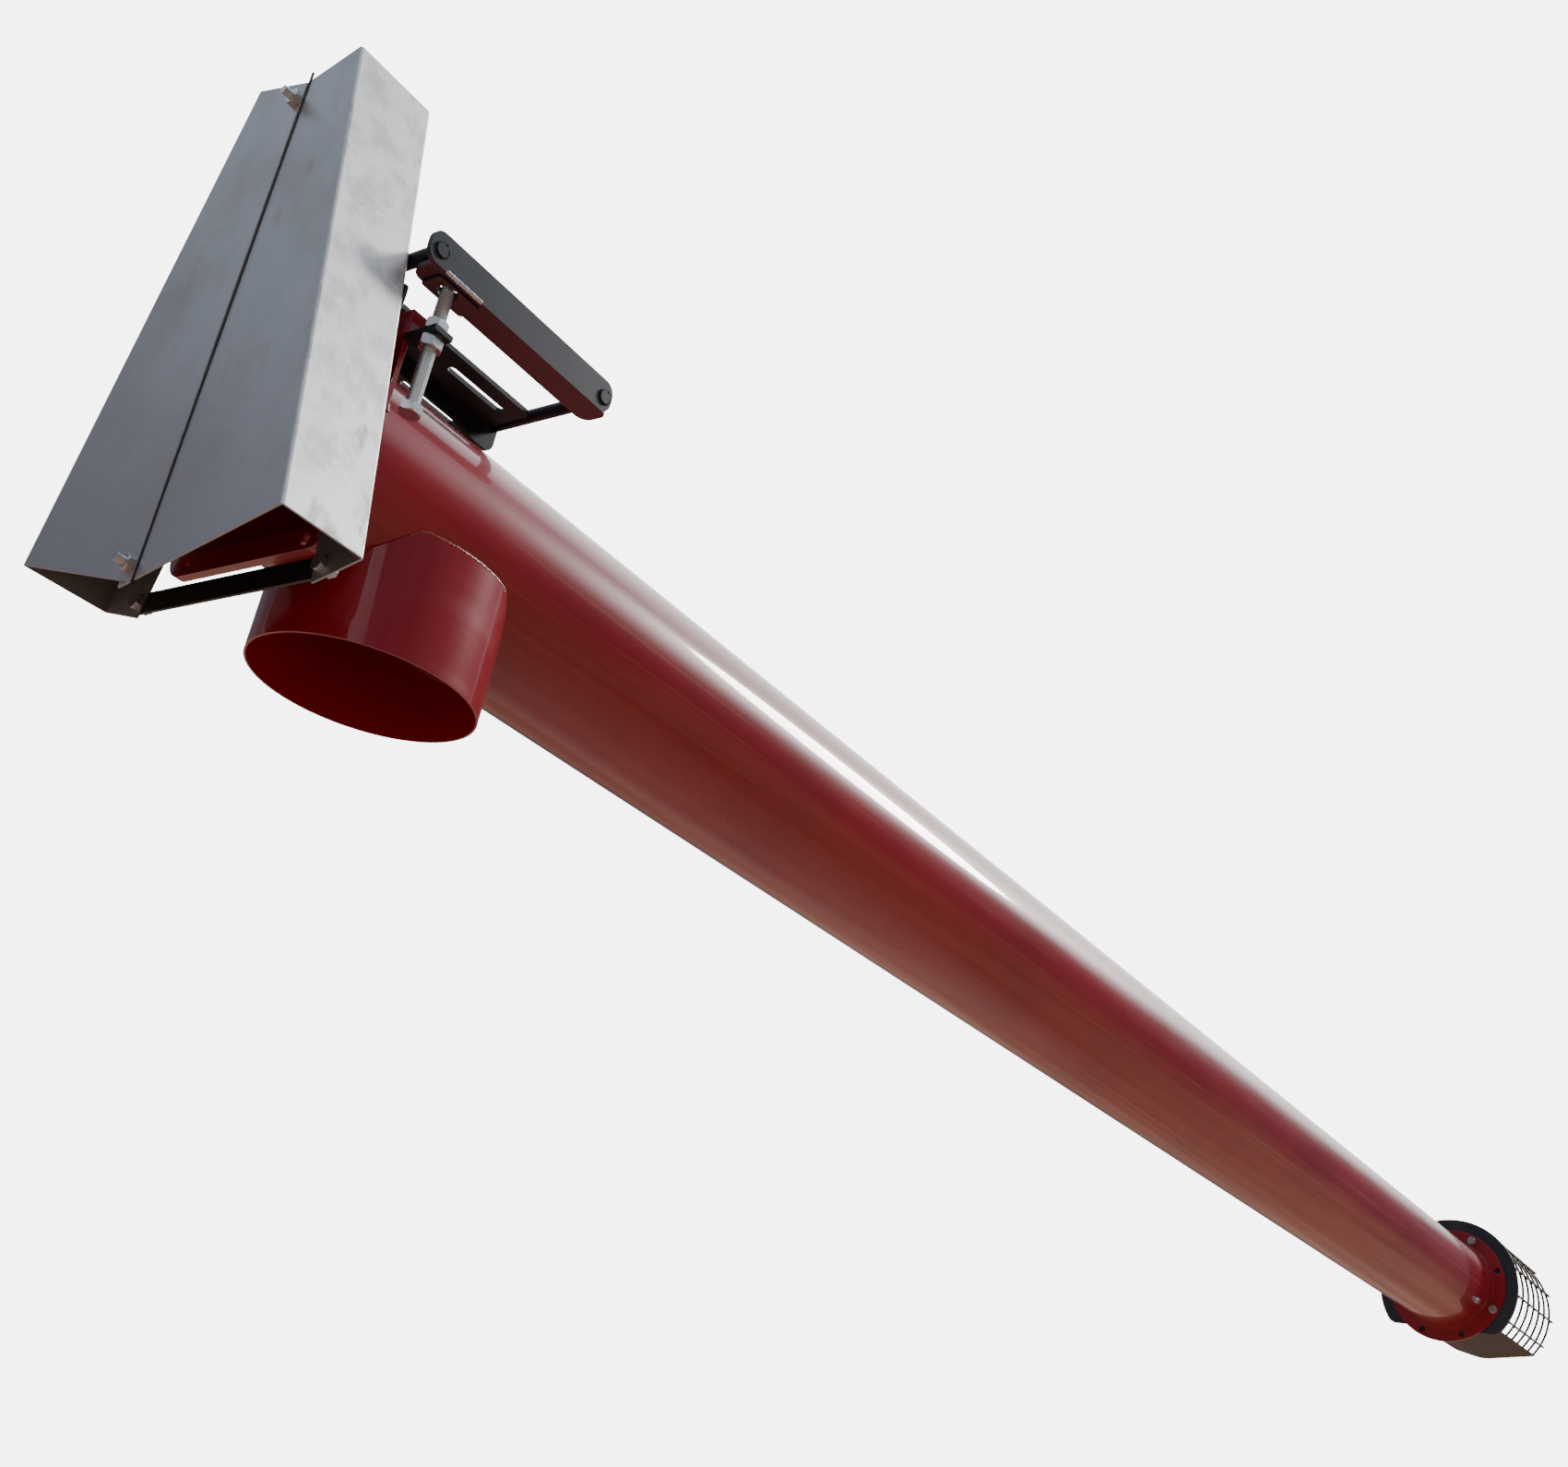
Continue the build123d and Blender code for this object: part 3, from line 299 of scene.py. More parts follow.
def guardSheet():
    # mill-finish sheet: upright brushing, cloudy oil marks, runs and finger smears; the webs are painted
    # lighter as if sunlit, and the inner faces are painted dark as shade
    material, shader, maths, place = startFinish("guardSheet")
    brush = maths.noise(maths.stretched(place, (260.0, 260.0, 3.0)), 1.0, 3.0, 0.6)
    cloud = maths.noise(place, 7.0, 6.0, 0.62).clamp(0.38, 0.72)
    marks = maths.noise(maths.stretched(place, (26.0, 30.0, 13.0)), 1.0, 6.0, 0.72).clamp(0.54, 0.70)
    mottle = maths.noise(place, 30.0, 7.0, 0.72).clamp(0.42, 0.64)
    runs = maths.noise(maths.stretched(place, (46.0, 46.0, 5.0)), 1.0, 3.0).clamp(0.62, 0.74)
    facing = maths.node("ShaderNodeTexCoord", {}, {}, out="Normal")
    normalX = maths.node("ShaderNodeSeparateXYZ", {}, {"Vector": facing}, out=0)
    normalY = maths.node("ShaderNodeSeparateXYZ", {}, {"Vector": facing}, out=1)
    placeX = maths.node("ShaderNodeSeparateXYZ", {}, {"Vector": place}, out=0)
    placeY = maths.node("ShaderNodeSeparateXYZ", {}, {"Vector": place}, out=1)
    sunlitWebs = (normalY * normalY).clamp(0.2, 0.6)
    # the guard's inner faces, which get painted shade
    inside = (normalX * -1).clamp(0.4, 0.8) * placeX.clamp(0.20, 0.22)
    inside = inside + (placeY * normalY * -1).clamp(0.02, 0.05)
    base = maths.blend(cloud, colour(0.42, 0.445, 0.49), colour(0.38, 0.40, 0.44))
    # painted highlight: faces across Y, the webs, made light grey as if in sun
    base = maths.blend(sunlitWebs, base, colour(0.74, 0.75, 0.75))
    base = maths.blend(mottle * sunlitWebs * 0.55, base, colour(0.36, 0.37, 0.37))
    base = maths.blend(marks * (sunlitWebs * 0.35 + 0.15), base, colour(0.30, 0.29, 0.26))
    base = maths.blend(runs * 0.14, base, colour(0.30, 0.28, 0.24))
    # painted shade: inner faces made near-black
    base = maths.blend(inside * 0.85, base, colour(0.035, 0.038, 0.038))
    join(maths, base, shader, "Base Color")
    join(maths, cloud * 0.10 + marks * 0.14 + brush * 0.10 + 0.40, shader, "Roughness")
    join(maths, 0.86 - marks * 0.20 - sunlitWebs * 0.25, shader, "Metallic")
    join(maths, bumped(maths, brush, 0.05, 0.0002), shader, "Normal")
    return material


def zincPlate():
    # bright plating with a yellow-blue cast, dull in patches
    material, shader, maths, place = startFinish("zincPlate")
    cast = maths.noise(place, 60.0).clamp(0.35, 0.65)
    dull = maths.noise(place, 240.0, 5.0, 0.7).clamp(0.5, 0.75)
    base = maths.blend(cast, colour(0.52, 0.57, 0.63), colour(0.56, 0.56, 0.54))
    base = maths.blend(dull * 0.4, base, colour(0.26, 0.25, 0.23))
    join(maths, base, shader, "Base Color")
    join(maths, dull * 0.22 + 0.24, shader, "Roughness")
    join(maths, bumped(maths, maths.noise(place, 1200.0, 2.0), 0.06, 0.0002), shader, "Normal")
    shader.inputs["Metallic"].default_value = 0.88
    return material


def bareSteel():
    # screw and shafts: brown mill scale rubbed bright towards the blade's rim
    material, shader, maths, place = startFinish("bareSteel")
    scale = maths.noise(place, 22.0, 6.0, 0.65).clamp(0.4, 0.66)
    scratch = maths.noise(maths.stretched(place, (40.0, 320.0, 320.0)), 1.0, 3.0).clamp(0.5, 0.7)
    base = maths.blend(scale, colour(0.36, 0.35, 0.34), colour(0.13, 0.085, 0.060))
    join(maths, base, shader, "Base Color")
    join(maths, scale * 0.25 + scratch * 0.1 + 0.26, shader, "Roughness")
    join(maths, 0.95 - scale * 0.45, shader, "Metallic")
    join(maths, bumped(maths, scratch, 0.1, 0.0003), shader, "Normal")
    return material


def castIron():
    # sand-cast pieces under grey-blue paint
    material, shader, maths, place = startFinish("castIron")
    sand = maths.noise(place, 520.0, 4.0, 0.65)
    bare = maths.noise(place, 45.0, 6.0, 0.7).clamp(0.6, 0.72)
    base = maths.blend(bare, colour(0.045, 0.060, 0.080), colour(0.11, 0.085, 0.07))
    join(maths, base, shader, "Base Color")
    join(maths, sand * 0.2 + 0.45, shader, "Roughness")
    join(maths, bumped(maths, sand, 0.35, 0.0006), shader, "Normal")
    return material


def cageWire(name, low, high):
    # drawn wire: the lengthwise bars have weathered olive, the hoops are darker
    material, shader, maths, place = startFinish(name)
    blotch = maths.noise(place, 70.0, 5.0, 0.65).clamp(0.38, 0.68)
    join(maths, maths.blend(blotch, low, high), shader, "Base Color")
    join(maths, blotch * 0.2 + 0.38, shader, "Roughness")
    join(maths, bumped(maths, maths.noise(place, 900.0, 3.0), 0.2, 0.0003), shader, "Normal")
    shader.inputs["Metallic"].default_value = 0.35
    return material


def bronze():
    # the tail bush, tarnished in patches
    material, shader, maths, place = startFinish("bronze")
    tarnish = maths.noise(place, 80.0, 5.0).clamp(0.4, 0.7)
    base = maths.blend(tarnish, colour(0.45, 0.28, 0.11), colour(0.20, 0.13, 0.06))
    join(maths, base, shader, "Base Color")
    join(maths, tarnish * 0.25 + 0.25, shader, "Roughness")
    shader.inputs["Metallic"].default_value = 0.95
    return material


def floorPaint(setup):
    # pale ground under the object that fades out before its edge
    material, shader, maths, place = startFinish("floorPaint")
    tint = setup["floorColour"]
    mottle = maths.noise(place, 1.2, 3.0).clamp(0.3, 0.7)
    soft = colour(*[part * 0.9 for part in tint])
    join(maths, maths.blend(mottle, colour(*tint), soft), shader, "Base Color")
    away = maths.node("ShaderNodeVectorMath", {"operation": "LENGTH"}, {0: place}, out="Value")
    join(maths, 1 - away.clamp(setup["floorReach"] * 0.5, setup["floorReach"]), shader, "Alpha")
    shader.inputs["Roughness"].default_value = 0.9
    return material


finishes = {
    "tubePaint": redPaint("tubePaint", True),
    "redPaint": redPaint("redPaint", False),
    "slatePaint": slatePaint("slatePaint", colour(0.032, 0.040, 0.052), colour(0.046, 0.055, 0.069)),
    "railPaint": slatePaint("railPaint", colour(0.013, 0.020, 0.033), colour(0.021, 0.030, 0.046), True),
    "mountPaint": slatePaint("mountPaint", colour(0.010, 0.014, 0.021), colour(0.017, 0.022, 0.032)),
    "blackPaint": blackPaint(),
    "guardSheet": guardSheet(),
    "zincPlate": zincPlate(),
    "bareSteel": bareSteel(),
    "castIron": castIron(),
    "hoopWire": cageWire("hoopWire", colour(0.020, 0.020, 0.022), colour(0.060, 0.055, 0.045)),
    "barWire": cageWire("barWire", colour(0.16, 0.155, 0.115), colour(0.075, 0.072, 0.055)),
    "bronze": bronze(),
}
print("finishes ready:", len(finishes))


def makeFloor(setup):
    bpy.ops.mesh.primitive_circle_add(vertices=64, radius=setup["floorReach"], fill_type="NGON",
                                      location=(*setup["floorMiddle"], setup["floorZ"]))
    floor = bpy.context.object
    floor.name = "studioFloor"
    floor.data.materials.append(floorPaint(setup))


makeCamera(cameraSetup)
makeLight(lightSetup)
makeFloor(lightSetup)
print("camera, light and floor ready")

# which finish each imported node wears
wears = {
    "tubePaint": ["auger_tube"],
    "redPaint": ["discharge_spout", "spout_lip", "head_plate", "head_bar", "jack_post", "intake_flange",
                 "intake_collar"],
    "slatePaint": ["intake_plate", "tail_hanger"],
    "railPaint": ["near_rail", "jack_patch"],
    "mountPaint": ["jack_lug", "hinge_ears", "cross_rods", "hinge_barrels", "motor_plate", "plate_rib"],
    "blackPaint": ["guard_strap_lower", "guard_strap_upper", "intake_tray"],
    "guardSheet": ["guard_half_left", "guard_half_right"],
    "zincPlate": ["head_bearing_bolts", "guard_studs", "guard_nuts", "guard_standoffs", "jack_lug_nuts",
                  "hinge_pin", "flange_bolts", "flange_nuts", "tube_stud", "stub_bolts", "jack_bolt",
                  "jack_end_nuts"],
    "bareSteel": ["screw_pipe", "tail_flights", "middle_flights", "head_flights", "head_stub_shaft",
                  "tail_stub_shaft", "head_bearing_insert", "sheave_key"],
    "castIron": ["head_bearing_housing", "drive_sheave", "sheave_bush"],
    "hoopWire": ["cage_hoops"],
    "barWire": ["cage_bars"],
    "bronze": ["tail_bush"],
}
finishName = {node: finish for finish, nodes in wears.items() for node in nodes}
for node, finish in finishName.items():
    mesh = frame["nodes"][node].data
    mesh.materials.clear()
    mesh.materials.append(finishes[finish])
print("packed nodes finished:", len(finishName))

# the body each node rides on
bodyOf = {name: node["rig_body"] for name, node in frame["nodes"].items()}


# ways of working that the pieces share

def pickOnly(*things):
    bpy.ops.object.select_all(action="DESELECT")
    for thing in things:
        thing.select_set(True)
    bpy.context.view_layer.objects.active = things[-1]


def applyAll(piece):
    pickOnly(piece)
    for modifier in list(piece.modifiers):
        bpy.ops.object.modifier_apply(modifier=modifier.name)


def joinAll(name, things):
    pickOnly(*things)
    bpy.ops.object.join()
    piece = bpy.context.object
    piece.name = piece.data.name = name
    bpy.ops.object.transform_apply(location=True, rotation=True, scale=True)
    return piece


def dress(piece, finish, body, *stoodFor):
    piece.data.materials.clear()
    piece.data.materials.append(finishes[finish])
    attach(piece, body)
    if stoodFor:
        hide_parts(*stoodFor)
    return piece


def placedCopy(source, matrix):
    copy = bpy.data.objects.new(source.name, source.data.copy())
    copy.data.transform(matrix)
    bpy.context.collection.objects.link(copy)
    return copy


def looseBoxes(node):
    # the boxes of a node's separate solids, as (lowest corner, highest corner)
    work = bmesh.new()
    work.from_mesh(frame["nodes"][node].data)
    bmesh.ops.remove_doubles(work, verts=work.verts, dist=1e-6)
    left = set(work.verts)
    boxes = []
    while left:
        island = [left.pop()]
        for vert in island:
            for edge in vert.link_edges:
                other = edge.other_vert(vert)
                if other in left:
                    left.remove(other)
                    island.append(other)
        corners = [[pick(vert.co[axis] for vert in island) for axis in range(3)] for pick in (min, max)]
        boxes.append((Vector(corners[0]), Vector(corners[1])))
    work.free()
    return sorted(boxes, key=lambda box: tuple(box[0]))


# plate and bar whose edges are broken, by node: the width of the broken edge
brokenEdges = {
    "head_plate": 0.0012, "head_bar": 0.0008, "jack_post": 0.0010, "jack_lug": 0.0012,
    "hinge_ears": 0.0012, "near_rail": 0.0016, "motor_plate": 0.0012, "plate_rib": 0.0012,
    "jack_patch": 0.0008, "intake_flange": 0.0012, "intake_collar": 0.0010, "intake_plate": 0.0012,
    "guard_half_left": 0.0005, "guard_half_right": 0.0005, "guard_strap_lower": 0.0007,
    "guard_strap_upper": 0.0007, "head_bearing_housing": 0.0030, "drive_sheave": 0.0008,
    "sheave_bush": 0.0008, "intake_tray": 0.0008, "tail_hanger": 0.0010, "hinge_barrels": 0.0012,
    "guard_standoffs": 0.0006, "auger_tube": 0.0006,
}
edgeSetup = {
    "merge": 1e-5,              # corners nearer than this are one
    "flatWithin": 0.5,          # degrees; faces this level with each other are joined
    "sharpFrom": 40,            # degrees; edges at least this sharp are broken
    "smoothTo": 35,
    "rounds": 2,
}


def breakEdges(node, width, setup=edgeSetup):
    piece = bpy.data.objects.new(node + "Worked", frame["nodes"][node].data.copy())
    bpy.context.collection.objects.link(piece)
    pickOnly(piece)
    bpy.ops.object.mode_set(mode="EDIT")
    bpy.ops.mesh.select_all(action="SELECT")
    bpy.ops.mesh.remove_doubles(threshold=setup["merge"])
    bpy.ops.mesh.dissolve_limited(angle_limit=math.radians(setup["flatWithin"]))
    bpy.ops.object.mode_set(mode="OBJECT")
    worn = piece.modifiers.new("brokenEdge", "BEVEL")
    worn.width = width
    worn.segments = setup["rounds"]
    worn.limit_method = "ANGLE"
    worn.angle_limit = math.radians(setup["sharpFrom"])
    applyAll(piece)
    bpy.ops.object.shade_smooth_by_angle(angle=math.radians(setup["smoothTo"]))
    flat = piece.modifiers.new("flatFaces", "WEIGHTED_NORMAL")
    flat.keep_sharp = True
    applyAll(piece)
    return dress(piece, finishName[node], bodyOf[node], node)


for node, width in brokenEdges.items():
    breakEdges(node, width)
print("edges broken:", len(brokenEdges))


turnedSetup = {
    "blank": 1.002,             # turned blank's radius, as a share of the hexagon's corner radius
    "chamfer": 0.13,            # as a share of the same
    "blankSides": 36,
    "boreSides": 24,
}


def turnedHex(acrossFlats, height, bore, setup=turnedSetup):
    # hexagon bar cut by a turned blank, which chamfers its corners; stands on the origin along +Z
    radius = acrossFlats / math.sqrt(3)
    bpy.ops.mesh.primitive_cylinder_add(vertices=6, radius=radius, depth=height, location=(0, 0, height / 2))
    block = bpy.context.object
    bpy.ops.mesh.primitive_cylinder_add(vertices=setup["blankSides"], radius=radius * setup["blank"],
                                        depth=height, location=(0, 0, height / 2))
    blank = bpy.context.object
    chamfer = blank.modifiers.new("chamfer", "BEVEL")
    chamfer.width = radius * setup["chamfer"]
    chamfer.segments = 1
    chamfer.limit_method = "ANGLE"
    chamfer.angle_limit = math.radians(60)
    applyAll(blank)
    cutters = [("INTERSECT", blank)]
    if bore:
        bpy.ops.mesh.primitive_cylinder_add(vertices=setup["boreSides"], radius=bore, depth=height * 3)
        cutters.append(("DIFFERENCE", bpy.context.object))
    for operation, cutter in cutters:
        cut = block.modifiers.new("cut", "BOOLEAN")
        cut.operation = operation
        cut.object = cutter
        cut.solver = "EXACT"
        applyAll(block)
        bpy.data.objects.remove(cutter)
    bpy.ops.object.transform_apply(location=True, rotation=True, scale=True)
    return block


threadSetup = {"root": 0.95, "sides": 20, "fewest": 3}      # root radius as a share of the crest's


def threadedRod(radius, length, pitch, setup=threadSetup):
    # crests and roots in rings, closed at both ends; along +Z from the origin
    turns = max(setup["fewest"], round(length / pitch))
    pitch = length / turns
    bpy.ops.mesh.primitive_cylinder_add(vertices=setup["sides"], radius=radius * setup["root"], depth=pitch,
                                        end_fill_type="NOTHING", location=(0, 0, pitch / 2))
    rod = bpy.context.object
    bpy.ops.object.transform_apply(location=True, rotation=True, scale=True)
    bpy.ops.object.mode_set(mode="EDIT")
    bpy.ops.mesh.select_all(action="SELECT")
    bpy.ops.mesh.bisect(plane_co=(0, 0, pitch / 2), plane_no=(0, 0, 1))
    crest = 1 / setup["root"]
    bpy.ops.transform.resize(value=(crest, crest, 1), center_override=(0, 0, pitch / 2))
    bpy.ops.object.mode_set(mode="OBJECT")
    stack = rod.modifiers.new("turns", "ARRAY")
    stack.count = turns
    stack.use_relative_offset = False
    stack.use_constant_offset = True
    stack.constant_offset_displace = (0, 0, pitch)
    stack.use_merge_vertices = True
    stack.merge_threshold = pitch * 0.1
    applyAll(rod)
    bpy.ops.object.mode_set(mode="EDIT")
    bpy.ops.mesh.select_all(action="SELECT")
    bpy.ops.mesh.fill_holes(sides=0)
    bpy.ops.mesh.normals_make_consistent(inside=False)
    bpy.ops.object.mode_set(mode="OBJECT")
    bpy.ops.object.shade_smooth_by_angle(angle=math.radians(20))
    return rod


# turns that stand +Z along X, Y or Z
standing = {0: Matrix.Rotation(math.pi / 2, 4, "Y"), 1: Matrix.Rotation(-math.pi / 2, 4, "X"),
            2: Matrix.Identity(4)}

# hexagons by node. A nut has its bore, and a count where one solid holds several. A bolt has its head's
# height, whether the head is atHigh on its axis or only before an X (highBefore), the shank's radius and
# thread pitch, the washer under the head, and the height of the loose nuts in the same node
hexWork = {
    "guard_nuts": {"axis": 0, "flats": 0.013, "bore": 0.004},
    "flange_nuts": {"axis": 0, "flats": 0.018, "bore": 0.006},
    "jack_lug_nuts": {"axis": 2, "flats": 0.019, "bore": 0.0064},
    "jack_end_nuts": {"axis": 2, "flats": 0.019, "bore": 0.0064, "count": 2},
    "guard_studs": {"axis": 0, "flats": 0.013, "head": 0.005, "highBefore": 0.2, "shank": 0.0039,
                    "pitch": 0.00125},
    "flange_bolts": {"axis": 0, "flats": 0.016, "head": 0.007, "atHigh": True, "shank": 0.0059,
                     "washer": 0.0025, "pitch": 0.00175},
    "head_bearing_bolts": {"axis": 0, "flats": 0.018, "head": 0.008, "atHigh": True, "shank": 0.0058,
                           "nut": 0.010, "pitch": 0.00175},
    "jack_bolt": {"axis": 2, "flats": 0.019, "head": 0.0085, "shank": 0.0063, "pitch": 0.00195},
}


def stood(base, middle, axis, start, spin):
    # a copy of a shape that stands on the origin, stood at start along the axis and spun about it
    foot = Vector(middle)
    foot[axis] = start
    turn = Matrix.Rotation(math.radians(spin), 4, "Z")
    return placedCopy(base, Matrix.Translation(foot) @ standing[axis] @ turn)


hexSpin = {"upright": 30, "first": 13, "step": 41}       # degrees; no two bolts along X stop alike
shankEnd = 0.0002           # how far a shank's ends stay inside its solid's
washerShare = 1.66          # a washer's radius over its shank's


def makeHexWork(node, setup):
    made = []
    axis = setup["axis"]
    for number, (low, high) in enumerate(looseBoxes(node)):
        middle = (low + high) / 2
        height = high[axis] - low[axis]
        spin = hexSpin["upright"] if axis == 2 else hexSpin["first"] + hexSpin["step"] * number
        if "head" not in setup or height <= setup.get("nut", 0) + 1e-4:
            count = setup.get("count", 1)
            each = height / count
            bore = setup.get("bore", setup.get("shank"))
            heads = [(low[axis] + each * place, each, bore) for place in range(count)]
        else:
            atHigh = setup.get("atHigh") or ("highBefore" in setup and low.x < setup["highBefore"])
            start = high[axis] - setup["head"] if atHigh else low[axis]
            heads = [(start, setup["head"], 0)]
            shank = threadedRod(setup["shank"], height - shankEnd * 2, setup["pitch"])
            made.append(stood(shank, middle, axis, low[axis] + shankEnd, 0))
            bpy.data.objects.remove(shank)
            if "washer" in setup:
                bpy.ops.mesh.primitive_cylinder_add(vertices=40, radius=setup["shank"] * washerShare,
                                                    depth=setup["washer"])
                washer = bpy.context.object
                made.append(stood(washer, middle, axis, start - setup["washer"] / 2, 0))
                bpy.data.objects.remove(washer)
        for start, tall, bore in heads:
            base = turnedHex(setup["flats"], tall, bore)
            made.append(stood(base, middle, axis, start, spin))
            bpy.data.objects.remove(base)
    piece = joinAll(node + "Worked", made)
    return dress(piece, "zincPlate", bodyOf[node], node)


for node, setup in hexWork.items():
    makeHexWork(node, setup)
print("bolts and nuts made:", len(hexWork))

weldSetup = {
    "ripple": 0.5,          # step between ripples, as a share of the bead's half width
    "crown": 0.55,          # height of the bead, as a share of its half width
    "length": 0.75,         # half length of a ripple, as a share of the same
    "wander": 0.12,
}


def smoothBall():
    bpy.ops.mesh.primitive_uv_sphere_add(segments=10, ring_count=6, radius=1.0)
    ball = bpy.context.object
    bpy.ops.object.shade_smooth()
    return ball


def weldBead(name, route, width, finish, body, setup=weldSetup):
    # overlapping ripples along a route of (place, outward) pairs
    ripple = smoothBall()
    made = []
    for (here, outward), (there, _) in zip(route, route[1:]):
        run = there - here
        along = run.normalized()
        up = (outward - along * outward.dot(along)).normalized()
        side = up.cross(along)
        turn = Matrix((along, side, up)).transposed().to_4x4()
        count = max(1, round(run.length / (width / 2 * setup["ripple"])))
        for number in range(count):
            half = width / 2 * random.uniform(1 - setup["wander"], 1 + setup["wander"])
            drift = side * random.uniform(-1, 1) * width * setup["wander"] / 2
            spot = here + run * (number / count) + drift
            shape = Matrix.Diagonal((half * setup["length"], half, half * setup["crown"], 1))
            made.append(placedCopy(ripple, Matrix.Translation(spot) @ turn @ shape))
    bpy.data.objects.remove(ripple)
    return dress(joinAll(name, made), finish, body)


def ringRoute(centre, radius, axis, start=0.0, end=360.0, steps=24):
    turns = {0: (Vector((0, 1, 0)), Vector((0, 0, 1))), 1: (Vector((0, 0, 1)), Vector((1, 0, 0))),
             2: (Vector((1, 0, 0)), Vector((0, 1, 0)))}
    first, second = turns[axis]
    route = []
    for number in range(steps + 1):
        angle = math.radians(start + (end - start) * number / steps)
        outward = first * math.cos(angle) + second * math.sin(angle)
        route.append((Vector(centre) + outward * radius, outward))
    return route


def aboutTube(x, degrees, lift=0.0):
    # a place on the tube's skin and the way out of it, by the angle up from the near side
    angle = math.radians(degrees)
    outward = Vector((0, math.cos(angle), math.sin(angle)))
    return Vector((x, 0, axisZ)) + outward * (tubeR + lift), outward


railLow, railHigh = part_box("near_rail")
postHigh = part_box("jack_post")[1]
lugLow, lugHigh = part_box("jack_lug")
collarLow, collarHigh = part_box("intake_collar")
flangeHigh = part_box("intake_flange")[1]

# how wide each bead is, in metres
welds = {"rod": 0.0034, "bend": 0.0044, "post": 0.0050, "lug": 0.0040, "ear": 0.0050, "collar": 0.0050,
         "spout": 0.0046, "seam": 0.0030}

# where the beads lie; angles are in degrees up from the tube's near side
beadSetup = {
    "skin": 0.0003,                 # a bead's middle line above the skin it lies on
    "rodRing": 0.0066, "rodProud": 0.0002,
    "bendRun": (0.139, 0.097),      # along X
    "bendIn": 0.0004, "bendUp": 0.0006,
    "postFoot": range(15, 64, 4), "postWall": 0.0051,
    "lugStart": 0.001, "lugEnd": 0.002,
    "earFoot": range(110, 145, 4),
    "collarProud": 0.0006, "flangeProud": 0.0004, "ringSteps": 48,
    "saddleSteps": 96, "saddleOut": 0.8, "saddleUp": 0.4,
}
slant = 0.7                         # half way between two walls that meet square


def weldMount(setup):
    # round the rods' ends on the near rail, and along the rail's bend
    for number, (low, high) in enumerate(looseBoxes("cross_rods")):
        centre = ((low.x + high.x) / 2, railHigh.y + setup["rodProud"], (low.z + high.z) / 2)
        ring = ringRoute(centre, setup["rodRing"], 1)
        weldBead("rodWeld%d" % number, ring, welds["rod"], "mountPaint", "motor_mount")
    y, z = railHigh.y - setup["bendIn"], railLow.z + setup["bendUp"]
    bendLine = [(Vector((x, y, z)), Vector((0, slant, -slant))) for x in setup["bendRun"]]
    weldBead("bendWeld", bendLine, welds["bend"], "zincPlate", "motor_mount")


def weldFeet(setup):
    # the post and its lug, then the two sides of each hinge ear
    for number, x in enumerate((postHigh.x, postHigh.x - setup["postWall"])):
        foot = [aboutTube(x, degrees, setup["skin"]) for degrees in setup["postFoot"]]
        weldBead("postFoot%d" % number, foot, welds["post"], "redPaint", "housing")
    for number, z in enumerate((lugLow.z, lugHigh.z)):
        outward = Vector((0, slant, slant if number else -slant))
        seam = [(Vector((x, postHigh.y + setup["skin"], z)), outward)
                for x in (lugLow.x + setup["lugStart"], lugHigh.x - setup["lugEnd"])]
        weldBead("lugWeld%d" % number, seam, welds["lug"], "mountPaint", "housing")
    for number, (low, high) in enumerate(looseBoxes("hinge_ears")):
        for side, x in enumerate((low.x, high.x)):
            foot = [aboutTube(x, degrees, setup["skin"]) for degrees in setup["earFoot"]]
            weldBead("earFoot%d%d" % (number, side), foot, welds["ear"], "mountPaint", "housing")


def weldIntake(setup):
    # the collar on the tube, then the flange on the collar
    collarR = (collarHigh.z - collarLow.z) / 2
    for name, x, radius in (("collarWeld", collarHigh.x, tubeR + setup["collarProud"]),
                            ("flangeWeld", flangeHigh.x, collarR + setup["flangeProud"])):
        ring = ringRoute((x, 0, axisZ), radius, 0, steps=setup["ringSteps"])
        weldBead(name, ring, welds["collar"], "redPaint", "housing")


def saddleRoute(setup):
    # round the spout where it meets the tube, cut off level at its top on the tube's two sides
    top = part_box("spout_lip")[1].z
    route = []
    for number in range(setup["saddleSteps"] + 1):
        angle = 2 * math.pi * number / setup["saddleSteps"]
        x, y = spoutR * math.cos(angle), spoutR * math.sin(angle)
        reach = max(0.0, tubeR ** 2 - y ** 2)
        z = min(top, axisZ - math.sqrt(reach))
        outward = Vector((math.cos(angle), math.sin(angle), 0)) * setup["saddleOut"]
        route.append((Vector((x, y, z)), (outward + Vector((0, 0, setup["saddleUp"]))).normalized()))
    return route


weldMount(beadSetup)
weldFeet(beadSetup)
weldIntake(beadSetup)
weldBead("saddleWeld", saddleRoute(beadSetup), welds["spout"], "redPaint", "housing")
print("welds laid")


nuggetSetup = {"radius": 0.0036, "spread": 0.15, "inward": 0.0025}


def makeNuggets(setup):
    # resistance-weld nuggets where the bars cross the hoops
    blob = smoothBall()
    made = []
    for barLow, barHigh in looseBoxes("cage_bars"):
        bar = (barLow + barHigh) / 2
        inward = Vector((0, -bar.y, axisZ - bar.z)).normalized()
        for hoopLow, hoopHigh in looseBoxes("cage_hoops"):
            spot = Vector(((hoopLow.x + hoopHigh.x) / 2, bar.y, bar.z)) + inward * setup["inward"]
            size = setup["radius"] * random.uniform(1 - setup["spread"], 1 + setup["spread"])
            made.append(placedCopy(blob, Matrix.Translation(spot) @ Matrix.Diagonal((size, size, size, 1))))
    bpy.data.objects.remove(blob)
    return dress(joinAll("cageNuggets", made), "hoopWire", "housing")


makeNuggets(nuggetSetup)
print("cage nuggets made")

spoutSetup = {
    "wall": 0.002, "steps": 96,
    "under": 0.0001,                # how far its radius stays inside the sized one
    "drawn": 0.1,                   # straight length drawn, before its top is cut to the tube
    "saddleGap": 0.0002,
    "seamAcross": 0.012,            # the seam's place across, and its run up the back
    "seamRun": (0.002, 0.060),
}


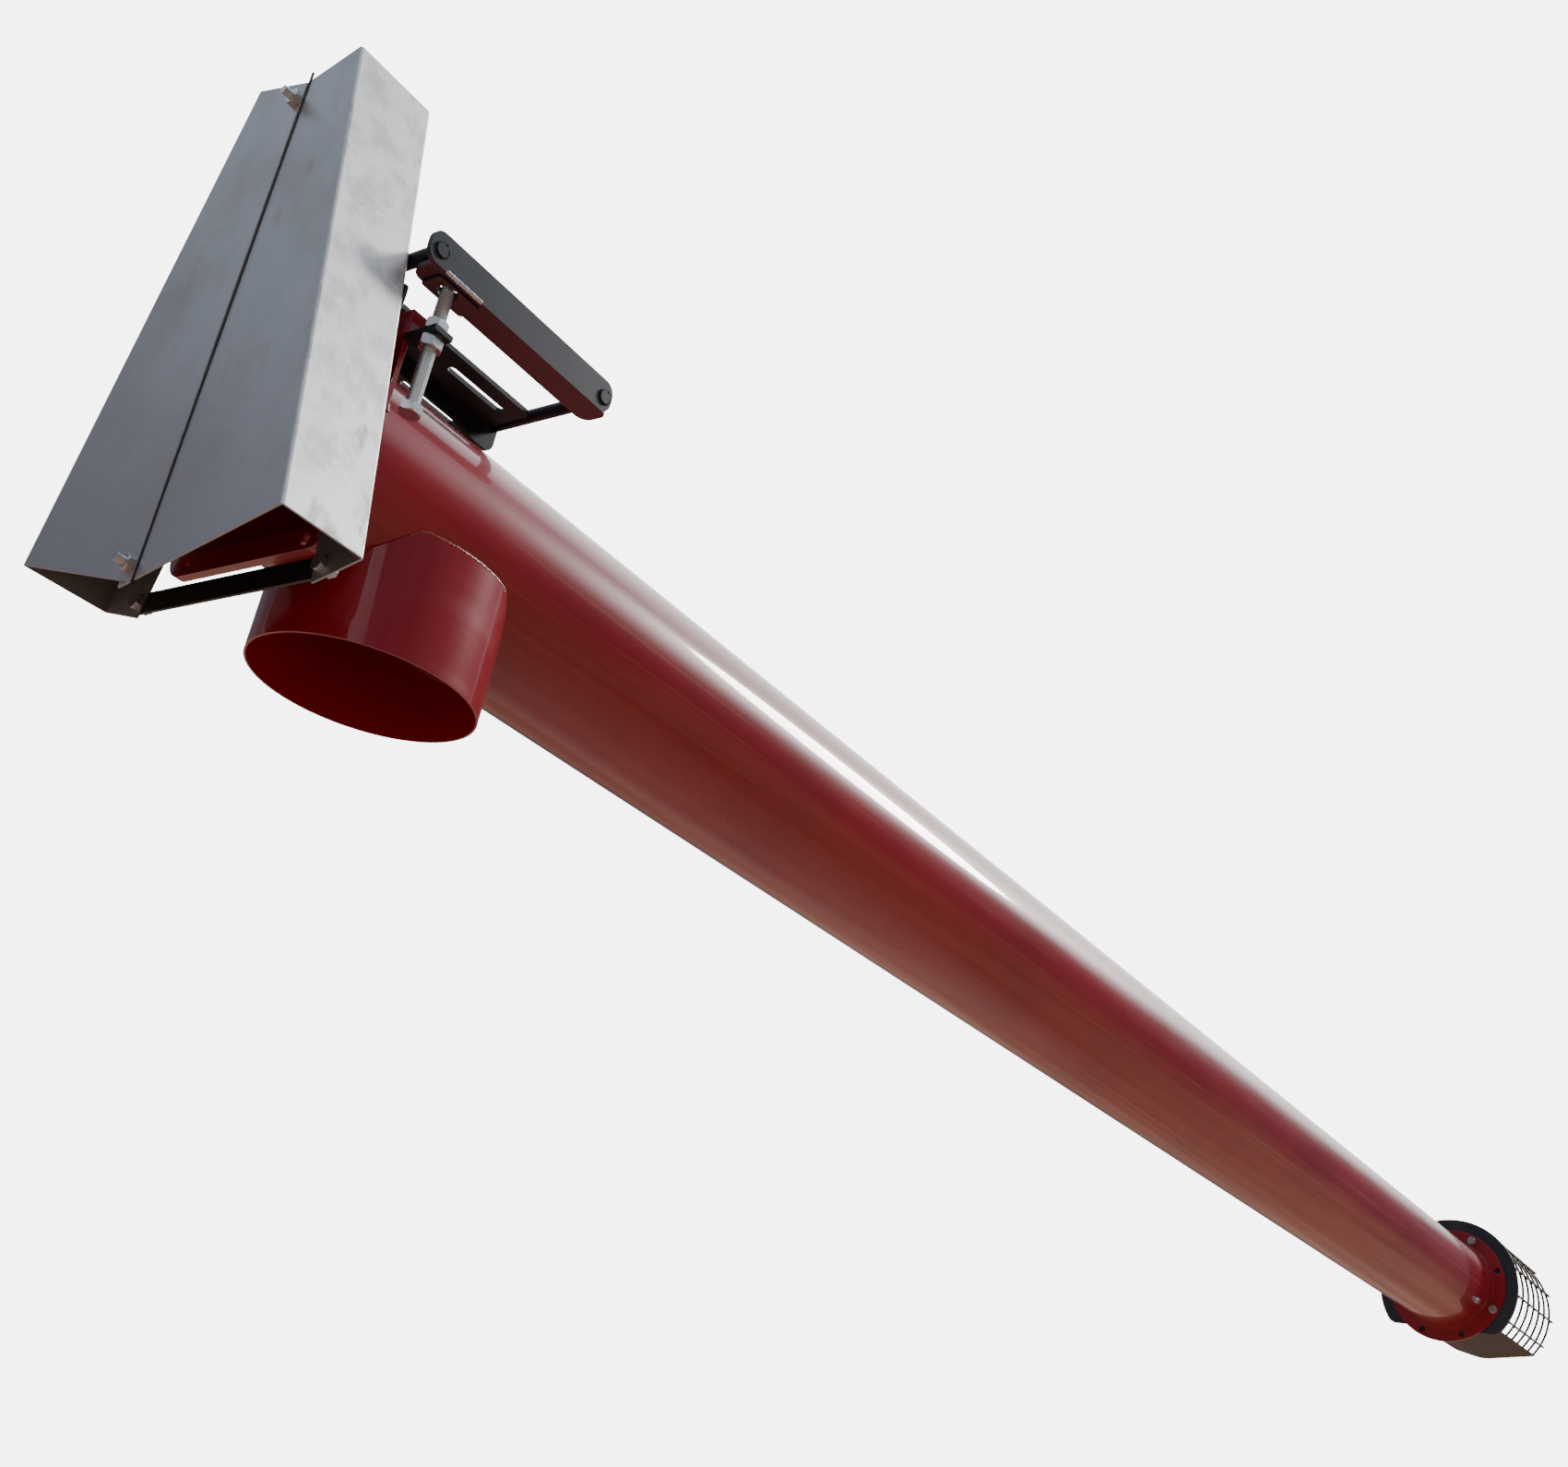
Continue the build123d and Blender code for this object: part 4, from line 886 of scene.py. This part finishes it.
def makeSpout(setup):
    # one rolled sheet: the outside runs straight from the mouth to the saddle
    radius = spoutR - setup["under"]
    bpy.ops.mesh.primitive_circle_add(vertices=setup["steps"], radius=radius, location=(0, 0, 0))
    spout = bpy.context.object
    bpy.ops.object.mode_set(mode="EDIT")
    bpy.ops.mesh.select_all(action="SELECT")
    bpy.ops.mesh.extrude_region_move(TRANSFORM_OT_translate={"value": (0, 0, setup["drawn"])})
    bpy.ops.object.mode_set(mode="OBJECT")
    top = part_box("spout_lip")[0].z
    for vert in spout.data.vertices:
        if vert.co.z > setup["drawn"] / 2:
            reach = max(0.0, (tubeR + setup["saddleGap"]) ** 2 - vert.co.y ** 2)
            vert.co.z = min(top, axisZ - math.sqrt(reach))
    sheet = spout.modifiers.new("wall", "SOLIDIFY")
    sheet.thickness = setup["wall"]
    sheet.offset = -1
    applyAll(spout)
    bpy.ops.object.mode_set(mode="EDIT")
    bpy.ops.mesh.select_all(action="SELECT")
    bpy.ops.mesh.normals_make_consistent(inside=False)
    bpy.ops.object.mode_set(mode="OBJECT")
    bpy.ops.object.shade_smooth_by_angle(angle=math.radians(30))
    spout.name = spout.data.name = "spoutWorked"
    return dress(spout, "redPaint", "housing", "discharge_spout")


# the painted shadow strip's run, below the lowest and above the highest of the lap's nuts
lapShadowSetup = {"width": 0.0022, "proud": 0.0009, "below": 0.012, "above": 0.022, "edge": 0.0004}


def makeLapShadow(setup):
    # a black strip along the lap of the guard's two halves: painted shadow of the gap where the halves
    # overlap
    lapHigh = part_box("guard_half_left")[1]
    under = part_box("guard_half_right")[1].x
    nuts = [box for box in looseBoxes("guard_nuts") if box[0].x > under]
    bottom = min(box[0].z for box in nuts) - setup["below"]
    top = max(box[1].z for box in nuts) + setup["above"]
    bpy.ops.mesh.primitive_cube_add(size=1.0)
    shadow = bpy.context.object
    shadow.dimensions = (setup["proud"] * 2, setup["width"], top - bottom)
    shadow.location = (under, lapHigh.y + setup["width"] / 2, (bottom + top) / 2)
    bpy.ops.object.transform_apply(location=True, rotation=True, scale=True)
    edge = shadow.modifiers.new("edge", "BEVEL")
    edge.width = setup["edge"]
    edge.segments = 2
    applyAll(shadow)
    shadow.name = shadow.data.name = "lapShadowStrip"
    return dress(shadow, "blackPaint", "housing")


makeLapShadow(lapShadowSetup)
print("lap seal made")

plugSetup = {"angles": (247.5, 292.5), "circle": 0.120, "radius": 0.0074, "thick": 0.0030}


def makePlugs(setup):
    # caps that close the flange's spare holes below the intake plate
    made = []
    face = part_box("intake_flange")[0].x
    for degrees in setup["angles"]:
        angle = math.radians(degrees)
        spot = (face, setup["circle"] * math.cos(angle), axisZ + setup["circle"] * math.sin(angle))
        bpy.ops.mesh.primitive_cylinder_add(vertices=32, radius=setup["radius"], depth=setup["thick"],
                                            location=spot, rotation=(0, math.pi / 2, 0))
        made.append(bpy.context.object)
    return dress(joinAll("flangePlugs", made), "slatePaint", "housing")


makePlugs(plugSetup)
print("flange caps made")

makeSpout(spoutSetup)
seamLine = [(Vector((-spoutR + beadSetup["skin"], spoutSetup["seamAcross"], z)), Vector((-1, 0, 0)))
            for z in spoutSetup["seamRun"]]
weldBead("spoutSeam", seamLine, welds["seam"], "redPaint", "housing")
print("spout made")
